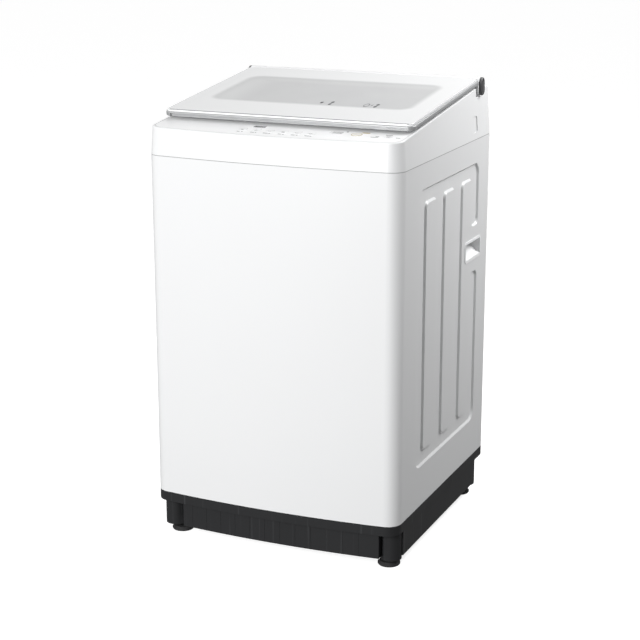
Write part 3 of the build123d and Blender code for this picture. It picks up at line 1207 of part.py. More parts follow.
# Outer tub with its hub, four lugs and the drain port
with BuildPart() as outer_tub:
    with BuildSketch(Plane.XY.offset(LUG_BOTTOM)):
        with Locations(RODS):
            Circle(LUG_R)
        for place in RODS:
            angle = 45 if place[0] * (place[1] - DRUM_Y) > 0 else -45
            with Locations((place[0] / 2, (place[1] + DRUM_Y) / 2)):
                Rectangle(sqrt(ROD_X**2 + ROD_Y**2), 2 * LUG_R, rotation=angle)
    extrude(amount=LUG_T)
    with BuildSketch(Plane.XY.offset(TUB_BOTTOM)):
        with Locations((0, DRUM_Y)):
            Circle(TUB_R)
    extrude(amount=TUB_TOP - TUB_BOTTOM)
    with BuildSketch(Plane.XY.offset(TUB_BOTTOM + TUB_FLOOR)):
        with Locations((0, DRUM_Y)):
            Circle(TUB_R - TUB_WALL)
    extrude(amount=TUB_TOP - TUB_BOTTOM, mode=Mode.SUBTRACT)
    with BuildSketch(Plane.XY.offset(TUB_BOTTOM)):
        with Locations((0, DRUM_Y)):
            Circle(HUB_R)
    extrude(amount=HUB_HEIGHT)
    with BuildSketch(Plane.XY.offset(TUB_BOTTOM)):
        with Locations((0, DRUM_Y)):
            Circle(BEARING_R + RUNNING_FIT)
        with Locations((DRAIN_X, DRAIN_Y)):
            Circle(DRAIN_R - TUBE_WALL)
    extrude(amount=HUB_HEIGHT, mode=Mode.SUBTRACT)
    with BuildSketch(Plane.XY.offset(TUB_BOTTOM)):
        with Locations((DRAIN_X, DRAIN_Y)):
            Circle(DRAIN_R)
            Circle(DRAIN_R - TUBE_WALL, mode=Mode.SUBTRACT)
    extrude(amount=-DRAIN_PORT)
    with BuildSketch(Plane.XY.offset(LUG_BOTTOM)):
        with Locations(RODS):
            Circle(ROD_R + 1.5)
    extrude(amount=LUG_T, mode=Mode.SUBTRACT)
outer_tub.part.label = "outer_tub"
export_step(outer_tub.part, "parts/outer_tub.step")

with BuildPart() as tub_ring:
    ring_profile = [
        (TUB_RING_R, TUB_TOP - 3.0),
        (TUB_RING_R + TUB_WALL, TUB_TOP - 3.0),
        (TUB_RING_R + TUB_WALL, TUB_TOP),
        (TUB_R + FIT, TUB_TOP),
        (TUB_R + FIT, TUB_TOP - 14.0),
        (TUB_R + FIT + TUB_WALL, TUB_TOP - 14.0),
        (TUB_R + FIT + TUB_WALL, TUB_TOP + TUB_RING_T - 2.0),
        (TUB_R + FIT + TUB_WALL - 2.0, TUB_TOP + TUB_RING_T),
        (TUB_RING_R + 2.0, TUB_TOP + TUB_RING_T),
        (TUB_RING_R, TUB_TOP + TUB_RING_T - 2.0),
    ]
    revolve(turned(ring_profile), axis=DRUM_AXIS)
tub_ring.part.label = "tub_ring"
export_step(tub_ring.part, "parts/tub_ring.step")

# Basket: perforated wall, floor, balance ring, drive flange, filters and its hollow shaft
with BuildPart() as basket_wall:
    with BuildSketch(Plane.XY.offset(BASKET_BOTTOM)):
        with Locations((0, DRUM_Y)):
            Circle(BASKET_R)
            Circle(BASKET_R - BASKET_SHEET, mode=Mode.SUBTRACT)
    extrude(amount=BASKET_TOP - BASKET_BOTTOM)
    row_pitch = (BASKET_TOP - BASKET_BOTTOM - 2 * HOLE_MARGIN) / (HOLE_ROWS - 1)
    for row in range(HOLE_ROWS):
        with Locations((0, DRUM_Y, BASKET_BOTTOM + HOLE_MARGIN + row_pitch * row)):
            with PolarLocations(BASKET_R - BASKET_SHEET / 2, HOLE_COLUMNS, start_angle=9 * (row % 2)):
                Cylinder(HOLE_R, 4 * BASKET_SHEET, rotation=(0, 90, 0), mode=Mode.SUBTRACT)
basket_wall.part.label = "basket_wall"
export_step(basket_wall.part, "parts/basket_wall.step")

with BuildPart() as basket_floor:
    rim_r = BASKET_R - BASKET_SHEET - FIT
    floor_profile = [
        (FLANGE_R * 0.3 + FIT, FLANGE_TOP),
        (BASKET_R + 2.0, FLANGE_TOP),
        (BASKET_R + 2.0, BASKET_BOTTOM),
        (rim_r, BASKET_BOTTOM),
        (rim_r, BASKET_BOTTOM + BASKET_RIM),
        (rim_r - 4.0, BASKET_BOTTOM + BASKET_RIM),
        (PULSATOR_R + 8.0, BASKET_BOTTOM + 6.0),
        (PULSATOR_R + 3.0, BASKET_BOTTOM),
        (FLANGE_R * 0.3 + FIT, BASKET_BOTTOM),
    ]
    revolve(turned(floor_profile), axis=DRUM_AXIS)
basket_floor.part.label = "basket_floor"
export_step(basket_floor.part, "parts/basket_floor.step")

with BuildPart() as balance_ring:
    balance_top = BASKET_TOP + BALANCE_HEIGHT
    balance_profile = [
        (BALANCE_IN_R + 5.0, BASKET_TOP),
        (BALANCE_OUT_R - 4.0, BASKET_TOP),
        (BALANCE_OUT_R, BASKET_TOP + 4.0),
        (BALANCE_OUT_R, balance_top - 6.0),
        (BALANCE_OUT_R - 6.0, balance_top),
        (BALANCE_IN_R + 10.0, balance_top),
        (BALANCE_IN_R + 3.0, balance_top - 3.0),
        (BALANCE_IN_R, balance_top - 10.0),
        (BALANCE_IN_R, BASKET_TOP + 12.0),
    ]
    revolve(turned(balance_profile), axis=DRUM_AXIS)
balance_ring.part.label = "balance_ring"
export_step(balance_ring.part, "parts/balance_ring.step")

with BuildPart() as drive_flange:
    flange_profile = [
        (SPIN_SHAFT_R + RUNNING_FIT, HUB_TOP + 3.0),
        (FLANGE_R * 0.3, HUB_TOP + 3.0),
        (FLANGE_R * 0.3, FLANGE_TOP - FLANGE_T),
        (FLANGE_R, FLANGE_TOP - FLANGE_T / 2),
        (FLANGE_R, FLANGE_TOP),
        (FLANGE_R * 0.3, FLANGE_TOP),
        (FLANGE_R * 0.3, BASKET_BOTTOM),
        (SPIN_SHAFT_R + RUNNING_FIT, BASKET_BOTTOM),
    ]
    revolve(turned(flange_profile), axis=DRUM_AXIS)
drive_flange.part.label = "drive_flange"
export_step(drive_flange.part, "parts/drive_flange.step")

with BuildPart() as lint_filters:
    filter_out = BASKET_R - BASKET_SHEET - FIT
    for start in (-FILTER_ARC / 2, 180.0 - FILTER_ARC / 2):
        begin = radians(start)
        filter_section = Plane(
            origin=(0, DRUM_Y, 0), x_dir=(cos(begin), sin(begin), 0), z_dir=(sin(begin), -cos(begin), 0)
        )
        with BuildSketch(filter_section):
            with BuildLine():
                Polyline(
                    (filter_out, FILTER_BOTTOM),
                    (filter_out, FILTER_BOTTOM + FILTER_HEIGHT),
                    (filter_out - FILTER_T + 4.0, FILTER_BOTTOM + FILTER_HEIGHT),
                    (filter_out - FILTER_T, FILTER_BOTTOM + FILTER_HEIGHT - 14.0),
                    (filter_out - FILTER_T, FILTER_BOTTOM + 14.0),
                    (filter_out - FILTER_T + 4.0, FILTER_BOTTOM),
                    close=True,
                )
            make_face()
        revolve(axis=DRUM_AXIS, revolution_arc=FILTER_ARC)
lint_filters.part.label = "lint_filters"
export_step(lint_filters.part, "parts/lint_filters.step")

with BuildPart() as spin_shaft:
    with BuildSketch(Plane.XY.offset(SPIN_SHAFT_BOTTOM)):
        with Locations((0, DRUM_Y)):
            Circle(SPIN_SHAFT_R)
            Circle(WASH_SHAFT_R + RUNNING_FIT, mode=Mode.SUBTRACT)
    extrude(amount=BASKET_BOTTOM - SPIN_SHAFT_BOTTOM)
spin_shaft.part.label = "spin_shaft"
export_step(spin_shaft.part, "parts/spin_shaft.step")

# Pulsator on the wash shaft, which runs inside the spin shaft
PULSATOR_TOP = PULSATOR_BOTTOM + 44.0
DISH = [
    (WASH_SHAFT_R + RUNNING_FIT, PULSATOR_BOTTOM),
    (PULSATOR_R - 3.0, PULSATOR_BOTTOM),
    (PULSATOR_R, PULSATOR_BOTTOM + 3.0),
    (PULSATOR_R, PULSATOR_BOTTOM + 8.0),
    (PULSATOR_R - 6.0, PULSATOR_BOTTOM + 11.0),
    (PULSATOR_R * 0.55, PULSATOR_BOTTOM + 12.0),
    (PULSATOR_R * 0.30, PULSATOR_BOTTOM + 19.0),
    (PULSATOR_R * 0.22, PULSATOR_BOTTOM + 30.0),
    (WASH_SHAFT_R + RUNNING_FIT, PULSATOR_BOTTOM + 32.0),
]
BLADE_ENVELOPE = [
    (0, PULSATOR_BOTTOM + 2.0),
    (PULSATOR_R - 4.0, PULSATOR_BOTTOM + 2.0),
    (PULSATOR_R - 4.0, PULSATOR_BOTTOM + 12.0),
    (PULSATOR_R * 0.88, PULSATOR_BOTTOM + 24.0),
    (PULSATOR_R * 0.55, PULSATOR_BOTTOM + 30.0),
    (PULSATOR_R * 0.25, PULSATOR_BOTTOM + 31.0),
    (0, PULSATOR_BOTTOM + 31.0),
]

with BuildPart() as blades:
    with BuildSketch(Plane.XY.offset(PULSATOR_BOTTOM + 4.0)):
        for number in range(PULSATOR_BLADES):
            with Locations(Location((0, DRUM_Y, 0), (0, 0, 360.0 * number / PULSATOR_BLADES))):
                with Locations((PULSATOR_R * 0.52, 0)):
                    SlotOverall(PULSATOR_R * 0.86, BLADE_WIDTH, rotation=14)
    extrude(amount=40.0, taper=8)
    revolve(turned(BLADE_ENVELOPE), axis=DRUM_AXIS, mode=Mode.INTERSECT)

with BuildPart() as pulsator:
    add(blades.part)
    revolve(turned(DISH), axis=DRUM_AXIS)
    with BuildSketch(Plane.XY.offset(PULSATOR_BOTTOM)):
        with Locations((0, DRUM_Y)):
            Circle(WASH_SHAFT_R + RUNNING_FIT)
    extrude(amount=PULSATOR_TOP, mode=Mode.SUBTRACT)
pulsator.part.label = "pulsator"
export_step(pulsator.part, "parts/pulsator.step")

with BuildPart() as pulsator_cap:
    cap_profile = [
        (0, PULSATOR_BOTTOM + 32.0),
        (PULSATOR_R * 0.16, PULSATOR_BOTTOM + 32.0),
        (PULSATOR_R * 0.16, PULSATOR_BOTTOM + 34.0),
        (PULSATOR_R * 0.11, PULSATOR_BOTTOM + 37.5),
        (0, PULSATOR_BOTTOM + 38.5),
    ]
    revolve(turned(cap_profile), axis=DRUM_AXIS)
pulsator_cap.part.label = "pulsator_cap"
export_step(pulsator_cap.part, "parts/pulsator_cap.step")

with BuildPart() as wash_shaft:
    with BuildSketch(Plane.XY.offset(SPIN_SHAFT_BOTTOM - 4.0)):
        with Locations((0, DRUM_Y)):
            Circle(WASH_SHAFT_R)
    extrude(amount=PULSATOR_BOTTOM + 31.5 - SPIN_SHAFT_BOTTOM + 4.0)
wash_shaft.part.label = "wash_shaft"
export_step(wash_shaft.part, "parts/wash_shaft.step")

# Bearings, seal, support plate, gear case, motor, pulleys and belt
with BuildPart() as shaft_bearings:
    for bottom in (PLATE_BOTTOM - BEARING_H, TUB_BOTTOM):
        with BuildSketch(Plane.XY.offset(bottom)):
            with Locations((0, DRUM_Y)):
                Circle(BEARING_R)
                Circle(SPIN_SHAFT_R + RUNNING_FIT, mode=Mode.SUBTRACT)
        extrude(amount=BEARING_H)
shaft_bearings.part.label = "shaft_bearings"
export_step(shaft_bearings.part, "parts/shaft_bearings.step")

with BuildPart() as shaft_seal:
    with BuildSketch(Plane.XY.offset(TUB_BOTTOM + BEARING_H)):
        with Locations((0, DRUM_Y)):
            Circle(BEARING_R)
            Circle(SPIN_SHAFT_R + SLIDE, mode=Mode.SUBTRACT)
    extrude(amount=SEAL_H)
shaft_seal.part.label = "shaft_seal"
export_step(shaft_seal.part, "parts/shaft_seal.step")

with BuildPart() as support_plate:
    with BuildSketch(Plane.XY.offset(PLATE_BOTTOM)):
        with Locations((0, DRUM_Y)):
            Circle(CASE_FLANGE_R + 12.0)
        with Locations((MOTOR_X, MOTOR_Y)):
            Circle(MOTOR_R + 8.0)
        make_hull()
        with Locations((0, DRUM_Y)):
            Circle(BEARING_R + 1.0, mode=Mode.SUBTRACT)
    extrude(amount=PLATE_T)
support_plate.part.label = "support_plate"
export_step(support_plate.part, "parts/support_plate.step")

with BuildPart() as gear_case:
    case_profile = [
        (STUB_R + RUNNING_FIT, CASE_BOTTOM),
        (CASE_R * 0.45, CASE_BOTTOM),
        (CASE_R * 0.45, CASE_BOTTOM + 10.0),
        (CASE_R - 8.0, CASE_BOTTOM + 14.0),
        (CASE_R, CASE_BOTTOM + 22.0),
        (CASE_R, PLATE_BOTTOM - CASE_FLANGE_T),
        (CASE_FLANGE_R, PLATE_BOTTOM - CASE_FLANGE_T),
        (CASE_FLANGE_R, PLATE_BOTTOM),
        (BEARING_R + RUNNING_FIT, PLATE_BOTTOM),
        (BEARING_R + RUNNING_FIT, PLATE_BOTTOM - BEARING_H),
        (SPIN_SHAFT_R + 1.0, PLATE_BOTTOM - BEARING_H),
        (SPIN_SHAFT_R + 1.0, SPIN_SHAFT_BOTTOM - 6.0),
        (STUB_R + RUNNING_FIT, SPIN_SHAFT_BOTTOM - 6.0),
    ]
    revolve(turned(case_profile), axis=DRUM_AXIS)
gear_case.part.label = "gear_case"
export_step(gear_case.part, "parts/gear_case.step")

MOTOR_TOP = PLATE_BOTTOM
MOTOR_BOTTOM = MOTOR_TOP - MOTOR_HEIGHT
MOTOR_PLACE = (MOTOR_X, MOTOR_Y)

with BuildPart() as motor:
    motor_profile = [
        (MOTOR_SHAFT_R + RUNNING_FIT, MOTOR_BOTTOM),
        (MOTOR_R * 0.4, MOTOR_BOTTOM),
        (MOTOR_R * 0.8, MOTOR_BOTTOM + 12.0),
        (MOTOR_R * 0.8, MOTOR_BOTTOM + 22.0),
        (MOTOR_R, MOTOR_BOTTOM + 22.0),
        (MOTOR_R, MOTOR_TOP - 26.0),
        (MOTOR_R * 0.8, MOTOR_TOP - 26.0),
        (MOTOR_R * 0.7, MOTOR_TOP - 8.0),
        (0, MOTOR_TOP - 8.0),
        (0, MOTOR_BOTTOM + 45.0),
        (MOTOR_SHAFT_R + RUNNING_FIT, MOTOR_BOTTOM + 45.0),
    ]
    revolve(turned(motor_profile, foot_section(MOTOR_PLACE)), axis=foot_axis(MOTOR_PLACE))
    with BuildSketch(Plane.XY.offset(MOTOR_TOP - 12.0)):
        with Locations(MOTOR_PLACE):
            with PolarLocations(MOTOR_R * 0.6, 3):
                Circle(8.0)
    extrude(amount=12.0)
motor.part.label = "motor"
export_step(motor.part, "parts/motor.step")


def pulley_profile(radius, bore):
    """Half section of a grooved pulley round the belt's height."""
    half = PULLEY_T / 2
    floor_r = radius - GROOVE
    return [
        (bore, BELT_Z - half),
        (radius, BELT_Z - half),
        (radius, BELT_Z - half + 2.0),
        (floor_r, BELT_Z - BELT_H / 2 - 0.6),
        (floor_r, BELT_Z + BELT_H / 2 + 0.6),
        (radius, BELT_Z + half - 2.0),
        (radius, BELT_Z + half),
        (bore, BELT_Z + half),
    ]


with BuildPart() as gear_pulley:
    revolve(turned(pulley_profile(GEAR_PULLEY_R, 0)), axis=DRUM_AXIS)
    with BuildSketch(Plane.XY.offset(BELT_BOTTOM)):
        with Locations((0, DRUM_Y)):
            with PolarLocations(GEAR_PULLEY_R * 0.5, 6):
                Circle(9.0)
    extrude(amount=PULLEY_T, mode=Mode.SUBTRACT)
    with BuildSketch(Plane.XY.offset(BELT_Z)):
        with Locations((0, DRUM_Y)):
            Circle(STUB_R)
    extrude(amount=SPIN_SHAFT_BOTTOM - 8.0 - BELT_Z)
gear_pulley.part.label = "gear_pulley"
export_step(gear_pulley.part, "parts/gear_pulley.step")

with BuildPart() as motor_pulley:
    small = pulley_profile(MOTOR_PULLEY_R, 0)
    revolve(turned(small, foot_section(MOTOR_PLACE)), axis=foot_axis(MOTOR_PLACE))
    with BuildSketch(Plane.XY.offset(BELT_Z)):
        with Locations(MOTOR_PLACE):
            Circle(MOTOR_SHAFT_R)
    extrude(amount=MOTOR_BOTTOM + 43.0 - BELT_Z)
motor_pulley.part.label = "motor_pulley"
export_step(motor_pulley.part, "parts/motor_pulley.step")


def belt_loop(grow):
    """Outline round both pulleys at the foot of their grooves, grown outwards."""
    with BuildSketch(Plane.XY.offset(BELT_Z - BELT_H / 2)) as loop:
        with Locations((0, DRUM_Y)):
            Circle(GEAR_PULLEY_R - GROOVE + grow)
        with Locations(MOTOR_PLACE):
            Circle(MOTOR_PULLEY_R - GROOVE + grow)
        make_hull()
    return loop.sketch


with BuildPart() as drive_belt:
    extrude(belt_loop(BELT_CLEAR + BELT_T), amount=BELT_H)
    extrude(belt_loop(BELT_CLEAR), amount=BELT_H, mode=Mode.SUBTRACT)
drive_belt.part.label = "drive_belt"
export_step(drive_belt.part, "parts/drive_belt.step")

# Drain: valve on the base's shelf, spigot through the rear skirt, bellows up to the tub
SHELF_TOP = SKIRT_BOTTOM + BASE_WALL
VALVE_PLACE = (DRAIN_X, DRAIN_Y)

with BuildPart() as drain_valve:
    valve_profile = [
        (0, SHELF_TOP),
        (VALVE_R, SHELF_TOP),
        (VALVE_R, VALVE_TOP - 6.0),
        (VALVE_R - 4.0, VALVE_TOP),
        (DRAIN_R, VALVE_TOP),
        (DRAIN_R, VALVE_TOP + VALVE_NECK),
        (DRAIN_R - TUBE_WALL, VALVE_TOP + VALVE_NECK),
        (DRAIN_R - TUBE_WALL, SPIGOT_Z),
        (0, SPIGOT_Z),
    ]
    revolve(turned(valve_profile, foot_section(VALVE_PLACE)), axis=foot_axis(VALVE_PLACE))
    with BuildSketch(REAR_FACE):
        with Locations((-DRAIN_X, SPIGOT_Z)):
            Circle(SPIGOT_R - SPIGOT_RELIEF)
    extrude(amount=-(REAR_Y - DRAIN_Y - VALVE_R / 2))
    with BuildSketch(REAR_FACE):
        with Locations((-DRAIN_X, SPIGOT_Z)):
            Circle(SPIGOT_R)
    extrude(amount=-(SKIRT_END_INSET - INLET_UNDERCUT))
    with BuildSketch(REAR_FACE):
        with Locations((-DRAIN_X, SPIGOT_Z)):
            Circle(SPIGOT_R - TUBE_WALL)
    extrude(amount=-(REAR_Y - DRAIN_Y), mode=Mode.SUBTRACT)
drain_valve.part.label = "drain_valve"
export_step(drain_valve.part, "parts/drain_valve.step")

with BuildPart() as drain_bellows:
    bellows_bottom = VALVE_TOP + VALVE_NECK
    bellows_top = TUB_BOTTOM - DRAIN_PORT
    folds = 6
    fold = (bellows_top - bellows_bottom) / (2 * folds)
    outside = []
    inside_line = []
    for i in range(2 * folds + 1):
        bulge = 5.0 if i % 2 else 0.0
        outside.append((DRAIN_R + bulge, bellows_bottom + fold * i))
        inside_line.append((DRAIN_R - TUBE_WALL + bulge, bellows_bottom + fold * i))
    bellows_profile = outside + inside_line[::-1]
    revolve(turned(bellows_profile, foot_section(VALVE_PLACE)), axis=foot_axis(VALVE_PLACE))
drain_bellows.part.label = "drain_bellows"
export_step(drain_bellows.part, "parts/drain_bellows.step")
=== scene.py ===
"""Dressed model of a top load washing machine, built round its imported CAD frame."""

import json
import logging
import math
from dataclasses import dataclass
from enum import Enum
from typing import Any, Callable, Dict, List, Optional, Sequence, Tuple, Union

import bmesh
import bpy
from mathutils import Euler, Matrix, Vector


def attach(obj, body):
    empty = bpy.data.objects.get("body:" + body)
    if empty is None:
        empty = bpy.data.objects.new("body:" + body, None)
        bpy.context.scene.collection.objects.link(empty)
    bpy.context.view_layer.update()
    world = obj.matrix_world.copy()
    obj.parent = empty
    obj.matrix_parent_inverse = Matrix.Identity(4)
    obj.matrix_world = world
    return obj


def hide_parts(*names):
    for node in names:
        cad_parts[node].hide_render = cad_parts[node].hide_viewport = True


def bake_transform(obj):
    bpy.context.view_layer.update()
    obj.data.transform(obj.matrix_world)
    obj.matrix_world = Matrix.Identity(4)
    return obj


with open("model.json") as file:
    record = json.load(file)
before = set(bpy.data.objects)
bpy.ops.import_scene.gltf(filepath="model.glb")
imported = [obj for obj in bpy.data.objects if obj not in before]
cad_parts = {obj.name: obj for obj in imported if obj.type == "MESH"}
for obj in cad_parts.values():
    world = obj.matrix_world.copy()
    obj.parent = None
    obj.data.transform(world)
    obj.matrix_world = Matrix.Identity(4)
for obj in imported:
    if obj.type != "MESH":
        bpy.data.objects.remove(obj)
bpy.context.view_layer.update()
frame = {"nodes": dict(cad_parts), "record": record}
LOG = logging.getLogger("washing_machine")

Piece = bpy.types.Object
Material = bpy.types.Material
Triple = Tuple[float, float, float]
Colour = Triple
Spot = Tuple[float, float]
Feed = Union["Signal", int, float, Sequence[float]]

MM = 0.001
DRUM_AXIS: Spot = (0.0, 5.0)


class Part(Enum):
    """The kinds of mesh element that can be picked in edit mode."""

    VERTS = "VERT"
    EDGES = "EDGE"
    FACES = "FACE"


class Body(str, Enum):
    """The bodies that new pieces ride on, apart from the oblong keys."""

    CABINET = "cabinet"
    TUB = "tub"
    BASKET = "basket"
    PULSATOR = "pulsator"
    LID = "lid"
    START = "start_key"
    POWER = "power_key"

    def __str__(self) -> str:
        """Give the body's plain name."""
        return self.value


class Figure(Enum):
    """The plain figures of printed marks, by their corners; a bar is drawn from a plane."""

    BAR = 0
    WEDGE = 3
    DIAMOND = 4
    DISC = 14
    RING = 40


def at(x: float, y: float, z: float) -> Matrix:
    """Give the move to a place in millimetres."""
    return Matrix.Translation(Vector((x, y, z)) * MM)


def turned(degrees: float, axis: str) -> Matrix:
    """Give a turn round one axis."""
    return Matrix.Rotation(math.radians(degrees), 4, axis)


def aimed(direction: Vector) -> Euler:
    """Give the turn that points a light or the camera along a direction."""
    return direction.to_track_quat("-Z", "Y").to_euler()


def scaled(colour: Colour, share: float) -> Colour:
    """Give a colour that is darker or brighter by a share."""
    return tuple(share * part for part in colour)


UPRIGHT = turned(90.0, "X")


# The sloping deck that carries the panel and the lid

@dataclass(frozen=True)
class Deck:
    """The sloping plane of the panel and the lid, in millimetres and degrees."""

    corner_y: float = -263.1
    front_z: float = 864.0
    tilt: float = 6.2

    def matrix(self, x: float = 0.0, v: float = 0.0, w: float = 0.0) -> Matrix:
        """Give the move to x from the middle, v up the slope from its front and w over the deck."""
        return at(0.0, self.corner_y, self.front_z) @ turned(self.tilt, "X") @ at(x, v, w)


DECK = Deck()


# Shader maths

class Signal:
    """A shader socket that takes part in Python arithmetic."""

    def __init__(self, shader: "Shader", socket: bpy.types.NodeSocket) -> None:
        """Keep the socket with the shader that it belongs to."""
        self.shader = shader
        self.socket = socket

    def _math(self, operation: str, first: Feed, second: Feed = 0.0) -> "Signal":
        """Add one Math node and give its result."""
        return self.shader.signal("ShaderNodeMath", {"operation": operation}, {0: first, 1: second})

    def __add__(self, other: Feed) -> "Signal":
        """Add a value or another signal."""
        return self._math("ADD", self, other)

    def __radd__(self, other: Feed) -> "Signal":
        """Add to a value."""
        return self._math("ADD", other, self)

    def __sub__(self, other: Feed) -> "Signal":
        """Take away a value or another signal."""
        return self._math("SUBTRACT", self, other)

    def __rsub__(self, other: Feed) -> "Signal":
        """Take this away from a value."""
        return self._math("SUBTRACT", other, self)

    def __mul__(self, other: Feed) -> "Signal":
        """Multiply by a value or another signal."""
        return self._math("MULTIPLY", self, other)

    def __rmul__(self, other: Feed) -> "Signal":
        """Multiply a value."""
        return self._math("MULTIPLY", other, self)

    def __pow__(self, other: Feed) -> "Signal":
        """Raise to a power."""
        return self._math("POWER", self, other)

    def larger(self, other: Feed) -> "Signal":
        """Give the larger of the two."""
        return self._math("MAXIMUM", self, other)

    def smaller(self, other: Feed) -> "Signal":
        """Give the smaller of the two."""
        return self._math("MINIMUM", self, other)

    def magnitude(self) -> "Signal":
        """Give the value without its sign."""
        return self._math("ABSOLUTE", self)

    def sine(self) -> "Signal":
        """Give the sine of an angle in radians."""
        return self._math("SINE", self)

    def past(self, limit: float) -> "Signal":
        """Give how far the value is past a limit, or 0."""
        return (self - limit).larger(0.0)

    def reach(self, other: "Signal") -> "Signal":
        """Give the length of the slant over two square distances."""
        return (self * self + other * other) ** 0.5

    def sway(self, amount: float) -> "Signal":
        """Swing a noise round 0, by an amount from end to end."""
        return (self - 0.5) * amount

    def ramp(self, low: float, high: float) -> "Signal":
        """Rise smoothly from 0 at low to 1 at high."""
        limits = {"Value": self, "From Min": low, "From Max": high}
        return self.shader.signal("ShaderNodeMapRange", {"interpolation_type": "SMOOTHSTEP"}, limits)


class Shader:
    """The node tree of one material, or of the room's light."""

    def __init__(self, name: str, store: str = "materials") -> None:
        """Start an empty tree.

        Args:
            name: The material's name.
            store: Where Blender keeps it, materials or worlds.
        """
        self.material = getattr(bpy.data, store).new(name)
        self.material.use_nodes = True
        self.tree = self.material.node_tree
        self.tree.nodes.clear()

    def node(self, kind: str, settings: Optional[Dict[str, Any]] = None,
             inputs: Optional[Dict[Any, Feed]] = None) -> bpy.types.Node:
        """Make one node.

        Args:
            kind: The node's type.
            settings: Its own settings, set before its sockets.
            inputs: Values or signals by socket name or number.

        Returns:
            The new node.
        """
        made = self.tree.nodes.new(kind)
        for key, value in (settings or {}).items():
            setattr(made, key, value)
        for key, value in (inputs or {}).items():
            if isinstance(value, Signal):
                self.tree.links.new(value.socket, made.inputs[key])
            else:
                made.inputs[key].default_value = value
        return made

    def signal(self, kind: str, settings: Optional[Dict[str, Any]] = None,
               inputs: Optional[Dict[Any, Feed]] = None, output: Any = 0) -> Signal:
        """Make one node and give one of its outputs."""
        return Signal(self, self.node(kind, settings, inputs).outputs[output])

    def place(self, stretch: Sequence[float] = (1.0, 1.0, 1.0), turn: Sequence[float] = (0.0, 0.0, 0.0),
              shift: Sequence[float] = (0.0, 0.0, 0.0)) -> Signal:
        """Give the piece's own coordinates, scaled, turned and moved.

        Args:
            stretch: The scale along each axis.
            turn: The turn round each axis, in radians.
            shift: The move along each axis, in metres.

        Returns:
            The coordinates.
        """
        own = self.signal("ShaderNodeTexCoord", output="Object")
        values = {"Vector": own, "Scale": tuple(stretch), "Rotation": tuple(turn), "Location": tuple(shift)}
        return self.signal("ShaderNodeMapping", {"vector_type": "POINT"}, values)

    def axes(self, place: Signal) -> List[Signal]:
        """Split a place into its three numbers."""
        split = self.node("ShaderNodeSeparateXYZ", None, {"Vector": place})
        return [Signal(self, socket) for socket in split.outputs]

    def deck(self) -> List[Signal]:
        """Give a place on the deck: across it, up its slope and over it, in metres."""
        start = turned(-DECK.tilt, "X") @ (Vector((0.0, DECK.corner_y, DECK.front_z)) * MM)
        return self.axes(self.place(turn=(math.radians(-DECK.tilt), 0.0, 0.0), shift=-start))

    def noise(self, place: Signal, scale: float, detail: float = 2.0) -> Signal:
        """Give a noise between 0 and 1."""
        return self.signal("ShaderNodeTexNoise", None, {"Vector": place, "Scale": scale, "Detail": detail})

    def cells(self, place: Signal, scale: float) -> Signal:
        """Give the distance to the nearest of scattered points."""
        return self.signal("ShaderNodeTexVoronoi", None, {"Vector": place, "Scale": scale})

    def mix(self, mask: Feed, low: Feed, high: Feed) -> Signal:
        """Mix two colours by a mask."""
        colours = {0: mask, 6: self._colour(low), 7: self._colour(high)}
        return self.signal("ShaderNodeMix", {"data_type": "RGBA"}, colours, 2)

    @staticmethod
    def _colour(value: Feed) -> Feed:
        """Give a colour its fourth number."""
        return value if isinstance(value, Signal) else (*value, 1.0)

    def bump(self, height: Signal, strength: float, depth_mm: float) -> Signal:
        """Turn a height into a normal."""
        values = {"Height": height, "Strength": strength, "Distance": depth_mm * MM}
        return self.signal("ShaderNodeBump", None, values)

    def surface(self, **sockets: Feed) -> Material:
        """Close the tree with a Principled surface.

        Args:
            sockets: Values or signals by socket name, with _ for a space.

        Returns:
            The finished material.
        """
        values: Dict[Any, Feed] = {}
        for key, value in sockets.items():
            name = key.replace("_", " ")
            is_colour = name in ("Base Color", "Emission Color")
            values[name] = self._colour(value) if is_colour else value
        skin = self.signal("ShaderNodeBsdfPrincipled", None, values)
        self.node("ShaderNodeOutputMaterial", None, {"Surface": skin})
        return self.material


# Finishes

@dataclass(frozen=True)
class Finish:
    """A finish of the machine, named for where it is used."""

    name: str

    def build(self) -> Material:
        """Make the finish's material."""
        shader = Shader(self.name)
        return self.paint(shader, shader.place())

    def paint(self, shader: Shader, place: Signal) -> Material:
        """Draw the finish in an empty tree, from the piece's own coordinates."""
        raise NotImplementedError


@dataclass(frozen=True)
class Enamel(Finish):
    """Sprayed and baked paint on pressed sheet, with heights in metres."""

    colour: Colour
    roughness: float = 0.34
    cloud_scale: float = 5.0
    peel_scale: float = 420.0
    dust: Spot = (0.08, 0.3)
    shade: float = 0.955
    seam_z: float = 0.809
    seam: float = 0.0016
    seam_shade: float = 0.4

    def paint(self, shader: Shader, place: Signal) -> Material:
        """Make paint with orange peel, a little dust low down and a shadow line at the top seam.

        Args:
            shader: The empty tree.
            place: The piece's own coordinates.

        Returns:
            The finished material.
        """
        height = shader.axes(place)[2]
        clouds = shader.noise(place, self.cloud_scale, 3.0)
        peel = shader.noise(place, self.peel_scale)
        low = 1.0 - height.ramp(*self.dust)
        mask = (clouds * 0.5 + low * 0.25).smaller(1.0)
        paint = shader.mix(mask, self.colour, scaled(self.colour, self.shade))
        line = height.ramp(self.seam_z - self.seam, self.seam_z - 0.6 * self.seam)
        line = line * (1.0 - height.ramp(self.seam_z + 0.2 * MM, self.seam_z + 0.6 * MM))
        tone = shader.mix(line, paint, scaled(self.colour, self.seam_shade))
        rough = self.roughness + clouds.sway(0.07) + low * 0.03
        return shader.surface(Base_Color=tone, Roughness=rough, Normal=shader.bump(peel, 0.12, 0.05),
                              Coat_Weight=0.12, Coat_Roughness=0.12)


